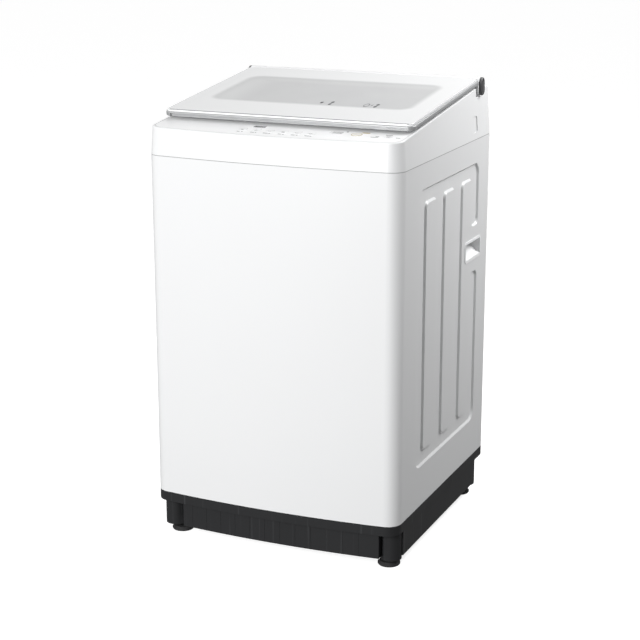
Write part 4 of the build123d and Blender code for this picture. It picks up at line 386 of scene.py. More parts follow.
@dataclass(frozen=True)
class Moulding(Finish):
    """Moulded plastic with a fine eroded grain."""

    colour: Colour
    roughness: float = 0.4
    grain: float = 900.0
    depth_mm: float = 0.05
    variation: float = 0.05
    coat: float = 0.0
    specular: float = 0.5
    drag: float = 0.0
    drag_stretch: Triple = (120.0, 120.0, 1.5)
    drag_band: Spot = (0.6, 0.78)
    drag_lift: float = 3.0
    flow_scale: float = 9.0

    def paint(self, shader: Shader, place: Signal) -> Material:
        """Make plastic whose tone and gloss vary a little, with upright drag marks where it has them.

        Args:
            shader: The empty tree.
            place: The piece's own coordinates.

        Returns:
            The finished material.
        """
        flow = shader.noise(place, self.flow_scale, 4.0)
        grain = shader.noise(place, self.grain, 3.0)
        tone = shader.mix(flow * 0.7 + grain * 0.3, self.colour, scaled(self.colour, 1.0 - self.variation))
        if self.drag:
            marks = shader.noise(shader.place(self.drag_stretch), 1.0).ramp(*self.drag_band)
            tone = shader.mix(marks * self.drag, tone, scaled(self.colour, self.drag_lift))
        rough = self.roughness + flow.sway(0.1) + grain.sway(0.06)
        return shader.surface(Base_Color=tone, Roughness=rough, Coat_Weight=self.coat,
                              Specular_IOR_Level=self.specular,
                              Normal=shader.bump(grain, 0.25, self.depth_mm))


@dataclass(frozen=True)
class PanelFilm(Finish):
    """Printed film on the panel, with a fine line along its bowed edge, in metres."""

    colour: Colour
    line: Colour
    bow_radius: float = 2.2783
    bow_centre: float = 2.007
    half_width: float = 0.26215
    corner: float = 0.0222
    width: float = 0.0016
    flow_scale: float = 9.0
    grain: float = 1400.0

    def paint(self, shader: Shader, place: Signal) -> Material:
        """Make satin film, with the line as a mask that follows the bow and the corners.

        Args:
            shader: The empty tree.
            place: The piece's own coordinates.

        Returns:
            The finished material.
        """
        x, y, _ = shader.axes(place)
        ahead = x.reach(y - self.bow_centre).past(self.bow_radius - self.corner)
        beside = x.magnitude().past(self.half_width - self.corner)
        border = ahead.reach(beside).ramp(self.corner - self.width, self.corner - 0.7 * self.width)
        flow = shader.noise(place, self.flow_scale, 4.0)
        grain = shader.noise(place, self.grain, 3.0)
        film = shader.mix(flow * 0.7 + grain * 0.3, self.colour, scaled(self.colour, 0.98))
        return shader.surface(Base_Color=shader.mix(border, film, self.line), Coat_Weight=0.2,
                              Roughness=0.3 + flow.sway(0.1), Normal=shader.bump(grain, 0.25, 0.02))


@dataclass(frozen=True)
class Brushed(Finish):
    """Brushed, drawn or turned metal with streaks along one way."""

    colour: Colour
    roughness: float = 0.3
    stretch: Triple = (2.0, 2.0, 900.0)
    metallic: float = 1.0
    streak: float = 0.14
    smear_scale: float = 14.0
    shade: float = 0.8

    def paint(self, shader: Shader, place: Signal) -> Material:
        """Make metal with fine streaks and faint smears.

        Args:
            shader: The empty tree.
            place: The piece's own coordinates.

        Returns:
            The finished material.
        """
        streaks = shader.noise(shader.place(self.stretch), 1.0, 4.0)
        smears = shader.noise(place, self.smear_scale, 3.0)
        tone = shader.mix(streaks * 0.6 + smears * 0.4, self.colour, scaled(self.colour, self.shade))
        rough = self.roughness + streaks.sway(self.streak) + smears.sway(0.1)
        return shader.surface(Base_Color=tone, Roughness=rough, Metallic=self.metallic,
                              Normal=shader.bump(streaks, 0.08, 0.03))


@dataclass(frozen=True)
class SatinTrim(Finish):
    """Satin silver trim with a painted highlight along its top edge and painted shade under it and at its
    ends, in metres.
    """

    # The bright tone is a painted highlight and the dark tone is painted shade.
    crown_highlight: Colour
    sole_shade: Colour
    low: float = 0.0143
    high: float = 0.0149
    side: float = 0.2645
    side_fade: float = 0.006
    stretch: Triple = (3.0, 700.0, 700.0)
    smear_scale: float = 14.0
    roughness: float = 0.34
    metallic: float = 0.25

    def paint(self, shader: Shader, place: Signal) -> Material:
        """Make satin metal whose painted highlight and painted shade follow its height over the deck.

        Args:
            shader: The empty tree.
            place: The piece's own coordinates.

        Returns:
            The finished material.
        """
        across, _, height = shader.deck()
        streaks = shader.noise(shader.place(self.stretch), 1.0, 4.0)
        smears = shader.noise(place, self.smear_scale, 3.0)
        # Painted highlight along the trim's top edge, fading to painted shade below it and towards its ends.
        shaded_ends = across.magnitude().ramp(self.side - self.side_fade, self.side)
        mask = height.ramp(self.low, self.high) * (0.95 + streaks * 0.05) * (1.0 - shaded_ends * 0.8)
        rough = self.roughness + streaks.sway(0.04) + smears.sway(0.06)
        return shader.surface(Base_Color=shader.mix(mask, self.sole_shade, self.crown_highlight), Roughness=rough,
                              Metallic=self.metallic, Normal=shader.bump(streaks, 0.05, 0.02))


@dataclass(frozen=True)
class Cast(Finish):
    """Cast metal with a sandy skin."""

    colour: Colour
    roughness: float = 0.55
    metallic: float = 1.0
    sand_scale: float = 380.0
    pit_scale: float = 160.0
    stain_scale: float = 18.0
    shade: float = 0.6

    def paint(self, shader: Shader, place: Signal) -> Material:
        """Make a grainy metal with darker pits.

        Args:
            shader: The empty tree.
            place: The piece's own coordinates.

        Returns:
            The finished material.
        """
        sand = shader.noise(place, self.sand_scale, 5.0)
        pits = shader.cells(place, self.pit_scale).ramp(0.05, 0.4)
        stain = shader.noise(place, self.stain_scale, 3.0)
        tone = shader.mix(pits * 0.7 + stain * 0.3, scaled(self.colour, self.shade), self.colour)
        return shader.surface(Base_Color=tone, Roughness=self.roughness + sand.sway(0.3),
                              Metallic=self.metallic, Normal=shader.bump(sand, 0.4, 0.15))


@dataclass(frozen=True)
class Rubber(Finish):
    """Moulded rubber with bloom and fine scuffs."""

    colour: Colour
    roughness: float = 0.72
    bloom_scale: float = 40.0
    bloom_lift: float = 0.022
    grain: float = 1200.0

    def paint(self, shader: Shader, place: Signal) -> Material:
        """Make dark rubber with greyer patches.

        Args:
            shader: The empty tree.
            place: The piece's own coordinates.

        Returns:
            The finished material.
        """
        bloom = shader.noise(place, self.bloom_scale, 4.0)
        grain = shader.noise(place, self.grain)
        pale = tuple(part + self.bloom_lift for part in self.colour)
        tone = shader.mix(bloom.ramp(0.4, 0.75), self.colour, pale)
        return shader.surface(Base_Color=tone, Roughness=self.roughness + bloom.sway(0.16),
                              Normal=shader.bump(grain, 0.3, 0.06))


@dataclass(frozen=True)
class LidPane(Finish):
    """Toughened glass, printed white behind its border and frosted in its window, with painted light along
    the window's left and rear edges and a painted shade line along its front top edge, in metres.
    """

    border: Colour
    window: Colour
    half_width: float = 0.218
    half_length: float = 0.107
    middle_v: float = 0.280
    corner: float = 0.028
    soft: float = 0.009
    frost_alpha: float = 0.74
    front_v: float = 0.0735
    top: float = 0.019
    edge: float = 0.0014
    # Painted shade: a dark line along the glass's top front edge.
    edge_shade: Colour = (0.12, 0.125, 0.13)
    # Painted light: the window is lighter towards its left and rear edges.
    painted_light: Colour = (0.83, 0.835, 0.84)
    veil_left: Spot = (-0.2, -0.13)
    painted_light_back: Spot = (0.335, 0.372)
    mist_scale: float = 7.0
    dot_scale: float = 1600.0

    def paint(self, shader: Shader, place: Signal) -> Material:
        """Make the pane, with its printed border, painted light along the window's left and rear edges and a
        painted shade line along its front top edge, as masks.

        Args:
            shader: The empty tree.
            place: The piece's own coordinates.

        Returns:
            The finished material.
        """
        x, v, w = shader.deck()
        across = x.magnitude().past(self.half_width - self.corner)
        along = (v - self.middle_v).magnitude().past(self.half_length - self.corner)
        print_mask = across.reach(along).ramp(self.corner - self.soft, self.corner + self.soft)
        mist = shader.noise(place, self.mist_scale)
        dots = shader.noise(place, self.dot_scale, 1.0)
        frost = shader.mix(mist, self.window, scaled(self.window, 1.04))
        # Painted light, lighter towards the window's left and rear edges.
        painted_light = (1.0 - x.ramp(*self.veil_left)).larger(v.ramp(*self.painted_light_back))
        pane = shader.mix(painted_light * 0.8, frost, self.painted_light)
        # Painted shade along the top of the glass's front edge.
        front = 1.0 - (v - self.front_v).ramp(0.7 * self.edge, self.edge)
        edge_shade_mask = front * w.ramp(self.top - self.edge, self.top - 0.7 * self.edge)
        tone = shader.mix(edge_shade_mask * 0.85, shader.mix(print_mask, pane, self.border), self.edge_shade)
        clear = self.frost_alpha + mist.sway(0.06)
        return shader.surface(Base_Color=tone, Alpha=print_mask + (1.0 - print_mask) * clear,
                              Roughness=0.05 + mist * 0.03, Coat_Weight=0.3, Coat_Roughness=0.03,
                              Normal=shader.bump(dots, 0.02, 0.01))


@dataclass(frozen=True)
class SmokedLens(Finish):
    """A dark display window."""

    colour: Colour
    swirl_scale: float = 90.0

    def paint(self, shader: Shader, place: Signal) -> Material:
        """Make a glossy dark lens with faint swirls.

        Args:
            shader: The empty tree.
            place: The piece's own coordinates.

        Returns:
            The finished material.
        """
        swirl = shader.noise(place, self.swirl_scale, 3.0)
        tone = shader.mix(swirl, self.colour, scaled(self.colour, 1.5))
        return shader.surface(Base_Color=tone, Roughness=0.1 + swirl * 0.06, Coat_Weight=0.4,
                              Normal=shader.bump(swirl, 0.03, 0.02))


@dataclass(frozen=True)
class CircuitBoard(Finish):
    """Green board with copper runs under its mask."""

    mask: Colour
    copper: Colour
    band_scale: float = 90.0
    slant_pitch: float = 300.0
    wander_scale: float = 60.0
    wander: float = 0.004

    def paint(self, shader: Shader, place: Signal) -> Material:
        """Make the runs where straight bands cross slanting ones.

        Args:
            shader: The empty tree.
            place: The piece's own coordinates.

        Returns:
            The finished material.
        """
        x, y, _ = shader.axes(place)
        wander = shader.noise(place, self.wander_scale, 1.0) * self.wander
        bands = shader.signal("ShaderNodeTexWave", {"wave_type": "BANDS"},
                              {"Vector": place, "Scale": self.band_scale})
        slants = ((x + y + wander) * self.slant_pitch).sine()
        runs = bands.ramp(0.62, 0.7) * slants.ramp(0.1, 0.3)
        return shader.surface(Base_Color=shader.mix(runs, self.mask, self.copper),
                              Roughness=0.38 - runs * 0.1, Normal=shader.bump(runs, 0.3, 0.05))


@dataclass(frozen=True)
class Ink(Finish):
    """Screen printed ink, or a lamp's coloured window."""

    colour: Colour
    roughness: float = 0.5
    mottle_scale: float = 700.0

    def paint(self, shader: Shader, place: Signal) -> Material:
        """Make thin ink with slight mottling.

        Args:
            shader: The empty tree.
            place: The piece's own coordinates.

        Returns:
            The finished material.
        """
        mottle = shader.noise(place, self.mottle_scale)
        tone = shader.mix(mottle, self.colour, scaled(self.colour, 0.85))
        return shader.surface(Base_Color=tone, Roughness=self.roughness + mottle.sway(0.1),
                              Normal=shader.bump(mottle, 0.1, 0.01))


class Wardrobe:
    """Every finish of the machine, made once and handed out by name."""

    WHITE: Colour = (0.78, 0.785, 0.79)

    def __init__(self) -> None:
        """List the finishes: those of the record's slots first, then the inks."""
        white = self.WHITE
        finishes: Tuple[Finish, ...] = (
            Enamel("white_sheet", white),
            Moulding("white_shell", white, 0.36, 700.0, 0.03, 0.03, 0.1),
            PanelFilm("panel_film", (0.88, 0.885, 0.89), (0.58, 0.585, 0.59)),
            # The grips' plastic is set brighter than the other white mouldings, as a painted highlight on
            # their faces.
            Moulding("grip_white", (0.9, 0.905, 0.91), 0.5, 800.0),
            Moulding("charcoal", (0.026, 0.0265, 0.028), 0.45, 520.0, 0.12, 0.3, specular=0.2, drag=0.6),
            Rubber("black_rubber", (0.014, 0.014, 0.015)),
            SatinTrim("silver_trim", (0.84, 0.845, 0.85), (0.36, 0.365, 0.37)),
            Moulding("lid_white", white, 0.35, 900.0, 0.02, 0.03, 0.1),
            LidPane("lid_pane", (0.82, 0.825, 0.83), (0.7, 0.705, 0.71)),
            Moulding("hinge_dark", (0.07, 0.07, 0.073), 0.4, 600.0, 0.1),
            SmokedLens("smoked_lens", (0.02, 0.021, 0.024)),
            Moulding("key_white", (0.79, 0.795, 0.8), 0.3, 1500.0, 0.02, 0.02, 0.2),
            Brushed("key_gold", (0.88, 0.86, 0.8), 0.32, (900.0, 3.0, 3.0), 0.2),
            Brushed("stainless", (0.8, 0.805, 0.81), 0.34, metallic=0.85),
            Brushed("zinc_steel", (0.6, 0.61, 0.63), 0.38, (30.0, 30.0, 500.0)),
            Cast("cast_alloy", (0.62, 0.63, 0.64), 0.5),
            Cast("motor_iron", (0.11, 0.11, 0.12), 0.6, 0.6),
            Moulding("tub_white", (0.74, 0.75, 0.76), 0.48, 500.0, 0.06, 0.12),
            Moulding("ring_grey", (0.5, 0.53, 0.56), 0.42, 600.0, 0.06, 0.08),
            Moulding("pulsator_grey", (0.4, 0.45, 0.5), 0.36, 600.0, 0.06, 0.08),
            CircuitBoard("board_green", (0.015, 0.1, 0.04), (0.1, 0.28, 0.1)),
            Rubber("belt_rubber", (0.02, 0.02, 0.021), 0.66),
            Moulding("drawer_blue", (0.5, 0.62, 0.72), 0.35, 800.0, 0.05, 0.05, 0.1),
            Ink("print_grey", (0.06, 0.063, 0.068)),
            Ink("print_gold", (0.52, 0.43, 0.22), 0.4),
            Ink("print_white", (0.85, 0.85, 0.85), 0.4),
            Ink("lamp_off", (0.5, 0.5, 0.48), 0.25),
            Ink("segment_off", (0.06, 0.062, 0.066), 0.3),
        )
        self.finishes = {finish.name: finish for finish in finishes}
        self.made: Dict[str, Material] = {}

    def material(self, name: str) -> Material:
        """Give a finish's material, made when it is first asked for.

        Args:
            name: The finish's name.

        Returns:
            Its material.
        """
        if name not in self.made:
            self.made[name] = self.finishes[name].build()
        return self.made[name]

    def dress_nodes(self) -> None:
        """Give every CAD node the material of its slot."""
        for row in frame["record"]["subparts"]:
            node = frame["nodes"][row["node"]]
            node.data.materials.clear()
            node.data.materials.append(self.material(row["material_slot"]))
            LOG.info("dressed %s in %s", row["node"], row["material_slot"])


# Studio

@dataclass(frozen=True)
class SoftBox:
    """One square soft light, in metres and watts."""

    name: str
    place: Triple
    aim: Triple
    size: float
    power: float

    def hang(self) -> None:
        """Hang the light and turn it to its aim."""
        lamp = Bench.add(bpy.ops.object.light_add, type="AREA", location=self.place)
        lamp.name = self.name
        lamp.data.shape = "SQUARE"
        lamp.data.size = self.size
        lamp.data.energy = self.power
        lamp.rotation_euler = aimed(Vector(self.aim) - Vector(self.place))


@dataclass
class Studio:
    """The floor, the lights and the camera, in metres and degrees."""

    focus: Triple = (-0.00967, 0.0, 0.430154)
    azimuth: float = 23.559
    elevation: float = 15.334
    distance: float = 3.488006
    focal_px: float = 1640.587
    frame_px: float = 640.0
    sensor_mm: float = 36.0
    clip_end: float = 200.0
    floor_size: float = 90.0
    floor_drop: float = 0.0003
    floor_tones: Spot = (0.62, 0.6)
    floor_glow: float = 0.79
    sky_under: float = 0.22
    sky_bright: float = 0.6
    sky_dim: float = 0.12
    sky_rear: float = 0.5
    sky_left: float = 0.8
    sky_side: Spot = (0.0, 0.8)
    sky_horizon: Spot = (0.05, 0.13)
    sky_top: Spot = (0.85, 0.98)
    sky_ground: Spot = (-0.15, -0.05)
    lights: Tuple[SoftBox, ...] = (
        SoftBox("overhead", (-1.3, -0.3, 3.2), (0.0, 0.0, 0.9), 3.2, 14.0),
        SoftBox("front_key", (-0.8, -4.6, 1.9), (0.0, 0.0, 0.45), 2.0, 226.0),
        SoftBox("side_rim", (1.15, 0.75, 1.75), (0.27, 0.1, 0.6), 0.9, 30.0),
    )

    def build(self) -> None:
        """Set up the whole studio."""
        self._floor()
        self._sky()
        for light in self.lights:
            light.hang()
        self._camera()

    def _floor(self) -> None:
        """Lay the plain pale floor, which throws no light back on the machine."""
        floor = Bench.add(bpy.ops.mesh.primitive_plane_add, size=self.floor_size,
                          location=(0.0, 0.0, -self.floor_drop))
        floor.name = "studio_floor"
        floor.visible_diffuse = False
        floor.visible_glossy = False
        shader = Shader("studio_floor")
        pale, dull = [(tone,) * 3 for tone in self.floor_tones]
        tone = shader.mix(shader.noise(shader.place(), 1.5), pale, dull)
        skin = shader.surface(Base_Color=tone, Roughness=0.9, Specular_IOR_Level=0.1,
                              Emission_Color=(self.floor_glow,) * 3, Emission_Strength=1.0)
        floor.data.materials.append(skin)

    def _sky(self) -> None:
        """Make the room bright at its rear left, straight above and along its horizon, and dim elsewhere."""
        room = Shader("studio_room", "worlds")
        across, along, up = room.axes(room.signal("ShaderNodeTexCoord", output="Generated"))
        rear = (along * self.sky_rear - across * self.sky_left).ramp(*self.sky_side)
        horizon = 1.0 - up.magnitude().ramp(*self.sky_horizon)
        open_sky = rear.larger(horizon).larger(up.ramp(*self.sky_top))
        above = self.sky_dim + open_sky * (self.sky_bright - self.sky_dim)
        under = 1.0 - up.ramp(*self.sky_ground)
        strength = above + under * (self.sky_under - above)
        white = {"Color": (1.0, 1.0, 1.0, 1.0), "Strength": strength}
        glow = room.signal("ShaderNodeBackground", None, white)
        room.node("ShaderNodeOutputWorld", None, {"Surface": glow})
        bpy.context.scene.world = room.material
        bpy.context.scene.view_settings.view_transform = "Standard"

    def _camera(self) -> None:
        """Put the camera at the photograph's angle."""
        round_z = math.radians(self.azimuth)
        lift = math.radians(self.elevation)
        flat = math.cos(lift)
        back = Vector((math.sin(round_z) * flat, -math.cos(round_z) * flat, math.sin(lift)))
        camera = Bench.add(bpy.ops.object.camera_add, location=Vector(self.focus) + back * self.distance)
        camera.name = "studio_camera"
        camera.rotation_euler = aimed(-back)
        camera.data.sensor_width = self.sensor_mm
        camera.data.lens = self.focal_px / self.frame_px * self.sensor_mm
        camera.data.clip_end = self.clip_end
        bpy.context.scene.camera = camera


# Modelling bench

class Bench:
    """Operator calls that shape one piece at a time."""

    @staticmethod
    def clear() -> None:
        """Leave edit mode and select nothing."""
        if bpy.context.object and bpy.context.object.mode != "OBJECT":
            bpy.ops.object.mode_set(mode="OBJECT")
        bpy.ops.object.select_all(action="DESELECT")

    @staticmethod
    def add(primitive: Callable[..., Any], **sizes: Any) -> Piece:
        """Add one primitive, light or camera with nothing else selected.

        Args:
            primitive: The operator that adds it.
            sizes: What the operator is told.

        Returns:
            The new object.
        """
        Bench.clear()
        primitive(**sizes)
        return bpy.context.object

    @staticmethod
    def hold(piece: Piece) -> None:
        """Make one piece the only one that operators act on.

        Args:
            piece: The piece to select.
        """
        Bench.clear()
        bpy.context.view_layer.objects.active = piece
        piece.select_set(True)

    @staticmethod
    def pick(piece: Piece, part: Part, test: Callable[[Vector, Vector], bool]) -> None:
        """Enter edit mode and pick what passes a test.

        Args:
            piece: The piece to edit.
            part: Whether vertices, edges or faces are picked.
            test: Takes an element's middle and normal and says whether it is picked.
        """
        Bench.hold(piece)
        bpy.ops.object.mode_set(mode="EDIT")
        bpy.ops.mesh.select_mode(type=part.value)
        bpy.ops.mesh.select_all(action="DESELECT")
        shape = bmesh.from_edit_mesh(piece.data)
        for element in getattr(shape, part.name.lower()):
            corners = [element] if part is Part.VERTS else list(element.verts)
            middle = sum((corner.co for corner in corners), Vector()) / len(corners)
            normal = sum((corner.normal for corner in corners), Vector())
            facing = element.normal if part is Part.FACES else normal
            element.select_set(test(middle, facing))
        shape.select_flush_mode()
        bmesh.update_edit_mesh(piece.data)

    @staticmethod
    def everything(piece: Piece, part: Part) -> None:
        """Enter edit mode with all of a piece picked."""
        Bench.pick(piece, part, lambda middle, normal: True)

    @staticmethod
    def top_faces(piece: Piece) -> None:
        """Enter edit mode with the faces picked that look up."""
        Bench.pick(piece, Part.FACES, lambda middle, normal: normal.z > 0.9)

    @staticmethod
    def apply(piece: Piece, kind: str, **settings: Any) -> None:
        """Add one modifier and apply it.

        Args:
            piece: The piece that it works on.
            kind: The modifier's type.
            settings: Its settings by name.
        """
        Bench.hold(piece)
        modifier = piece.modifiers.new(kind.lower(), kind)
        for key, value in settings.items():
            setattr(modifier, key, value)
        bpy.ops.object.modifier_apply(modifier=modifier.name)

    @staticmethod
    def place(piece: Piece, matrix: Matrix) -> Piece:
        """Move a piece and put its new place into its mesh.

        Args:
            piece: The piece to move.
            matrix: Its place, turn and scale.

        Returns:
            The same piece, with its object at the origin.
        """
        Bench.hold(piece)
        piece.matrix_basis = matrix
        bpy.ops.object.transform_apply(location=True, rotation=True, scale=True)
        return piece

    @staticmethod
    def tidy(piece: Piece, distance_mm: float = 0.01) -> None:
        """Merge doubles and turn every face outwards.

        Args:
            piece: The piece to tidy.
            distance_mm: Points nearer than this become one.
        """
        Bench.everything(piece, Part.VERTS)
        bpy.ops.mesh.remove_doubles(threshold=distance_mm * MM)
        bpy.ops.mesh.select_all(action="SELECT")
        bpy.ops.mesh.normals_make_consistent(inside=False)
        Bench.clear()

    @staticmethod
    def copies(piece: Piece, places: Sequence[Matrix]) -> Piece:
        """Copy a piece to several places, drop the pattern and join the copies.

        Args:
            piece: The pattern, drawn at the origin.
            places: Where its copies go.

        Returns:
            The joined copies.
        """
        made = []
        for place in places:
            Bench.hold(piece)
            bpy.ops.object.duplicate(linked=False)
            made.append(Bench.place(bpy.context.object, place))
        bpy.data.objects.remove(piece)
        return Bench.join(made)

    @staticmethod
    def join(pieces: Sequence[Piece]) -> Piece:
        """Join several pieces.

        Args:
            pieces: The pieces, of which the first takes up the others.

        Returns:
            The joined piece.
        """
        Bench.hold(pieces[0])
        for piece in pieces:
            piece.select_set(True)
        bpy.ops.object.join()
        return bpy.context.object

    @staticmethod
    def round_drum(node: str, radius: float, count: int, top: float = 1200.0) -> List[Matrix]:
        """Spread places evenly round the drum's axis, on the surface of a CAD node.

        Args:
            node: The node that carries them.
            radius: Their distance from the axis, in millimetres.
            count: How many there are.
            top: The height that the surface is looked for from, in millimetres.

        Returns:
            The move to each place.
        """
        places = []
        for step in range(count):
            turn = math.tau * (step + 0.5) / count
            x = DRUM_AXIS[0] + radius * math.cos(turn)
            y = DRUM_AXIS[1] + radius * math.sin(turn)
            start = Vector((x, y, top)) * MM
            hit, point, _, _ = frame["nodes"][node].ray_cast(start, Vector((0.0, 0.0, -1.0)))
            if not hit:
                raise ValueError(f"{node} has no surface at {x:.1f}, {y:.1f}")
            places.append(Matrix.Translation(point))
        return places


@dataclass(frozen=True)
class Stroke:
    """One printed figure on the deck, a little thick, in millimetres and degrees.

    The size is a bar's length or another figure's radius, the width is a bar's or a ring's, x and v
    are the place from a spot on the deck, and stretch draws the figure out up the slope.
    """

    figure: Figure
    size: float
    width: float = 0.0
    x: float = 0.0
    v: float = 0.0
    turn: float = 0.0
    stretch: float = 1.0
    thick: float = 0.1
    rounding: float = 0.45

    def draw(self) -> Piece:
        """Draw the figure flat at the origin and give it its thickness.

        Returns:
            The figure's piece.
        """
        if self.figure is Figure.BAR:
            piece = Bench.add(bpy.ops.mesh.primitive_plane_add, size=MM)
            Bench.place(piece, Matrix.Diagonal((self.size, self.width, 1.0, 1.0)))
            Bench.everything(piece, Part.VERTS)
            corner = self.rounding * min(self.size, self.width) * MM
            bpy.ops.mesh.bevel(offset=corner, affect="VERTICES", segments=2)
        else:
            piece = Bench.add(bpy.ops.mesh.primitive_circle_add, vertices=self.figure.value,
                              radius=self.size * MM, fill_type="NGON")
        if self.figure is Figure.RING:
            Bench.everything(piece, Part.FACES)
            bpy.ops.mesh.inset(thickness=self.width * MM)
            bpy.ops.mesh.delete(type="FACE")
        Bench.everything(piece, Part.FACES)
        bpy.ops.mesh.extrude_region_move(TRANSFORM_OT_translate={"value": (0.0, 0.0, self.thick * MM)})
        Bench.tidy(piece, 0.001)
        return piece

    def lay(self, x: float = 0.0, v: float = 0.0, w: float = 0.0) -> Piece:
        """Draw the figure and lay it on the deck, from a spot and at a height over it."""
        shape = turned(self.turn, "Z") @ Matrix.Diagonal((1.0, self.stretch, 1.0, 1.0))
        return Bench.place(self.draw(), DECK.matrix(x + self.x, v + self.v, w) @ shape)


class Workshop:
    """Finishes the new pieces: their name, body and material, which is their slot's finish unless another is
    given.
    """

    CRISP: float = 35.0
    ROUND: float = 50.0

    def __init__(self, wardrobe: Wardrobe) -> None:
        """Keep the wardrobe that the pieces are dressed from."""
        self.wardrobe = wardrobe

    def finish(self, piece: Piece, name: str, body: str, slot: str, finish: str = "",
               stands_for: Sequence[str] = (), angle: float = CRISP) -> None:
        """Name, dress and mount one piece.

        Args:
            piece: The shaped piece.
            name: Its name in the table of pieces.
            body: The body that it rides on.
            slot: The record's slot that it takes its finish from.
            finish: Another finish of the wardrobe, where the slot's own isn't worn.
            stands_for: The CAD nodes that it replaces.
            angle: Edges flatter than this, in degrees, are shaded smooth.
        """
        self._dress(piece, name, finish or slot, angle)
        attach(piece, body)
        if stands_for:
            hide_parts(*stands_for)
        LOG.info("%s rides on %s in %s", name, body, finish or slot)

    def flex(self, piece: Piece, name: str, slot: str, stands_for: str) -> None:
        """Name and dress a piece that gives between the cabinet, below it, and the bouncing tub.

        Args:
            piece: The shaped piece.
            name: Its name in the table of pieces.
            slot: The record's slot that it takes its finish from.
            stands_for: The CAD node that it replaces.
        """
        self._dress(piece, name, slot, self.ROUND)
        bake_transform(piece)
        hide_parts(stands_for)
        LOG.info("%s gives between the cabinet and the tub in %s", name, slot)

    def print_marks(self, strokes: Sequence[Stroke], name: str, body: str, slot: str, ink: str,
                    spot: Spot = (0.0, 0.0), w: float = 0.0) -> None:
        """Lay strokes on the deck, from a spot and at a height over it, and finish them as one piece."""
        self.finish(Bench.join([stroke.lay(*spot, w) for stroke in strokes]), name, body, slot, ink)

    def _dress(self, piece: Piece, name: str, finish: str, angle: float) -> None:
        """Name a piece, shade it and give it its material.

        Args:
            piece: The shaped piece.
            name: Its name in the table of pieces.
            finish: The finish that it wears.
            angle: Edges flatter than this, in degrees, are shaded smooth.
        """
        Bench.hold(piece)
        piece.name = name
        piece.data.name = name
        bpy.ops.object.shade_smooth_by_angle(angle=math.radians(angle))
        piece.data.materials.clear()
        piece.data.materials.append(self.wardrobe.material(finish))


# Sub-assemblies

@dataclass
class Assembly:
    """A sub-assembly, with the workshop that finishes its pieces."""

    workshop: Workshop

    def build(self) -> None:
        """Make the pieces of the sub-assembly."""
        raise NotImplementedError


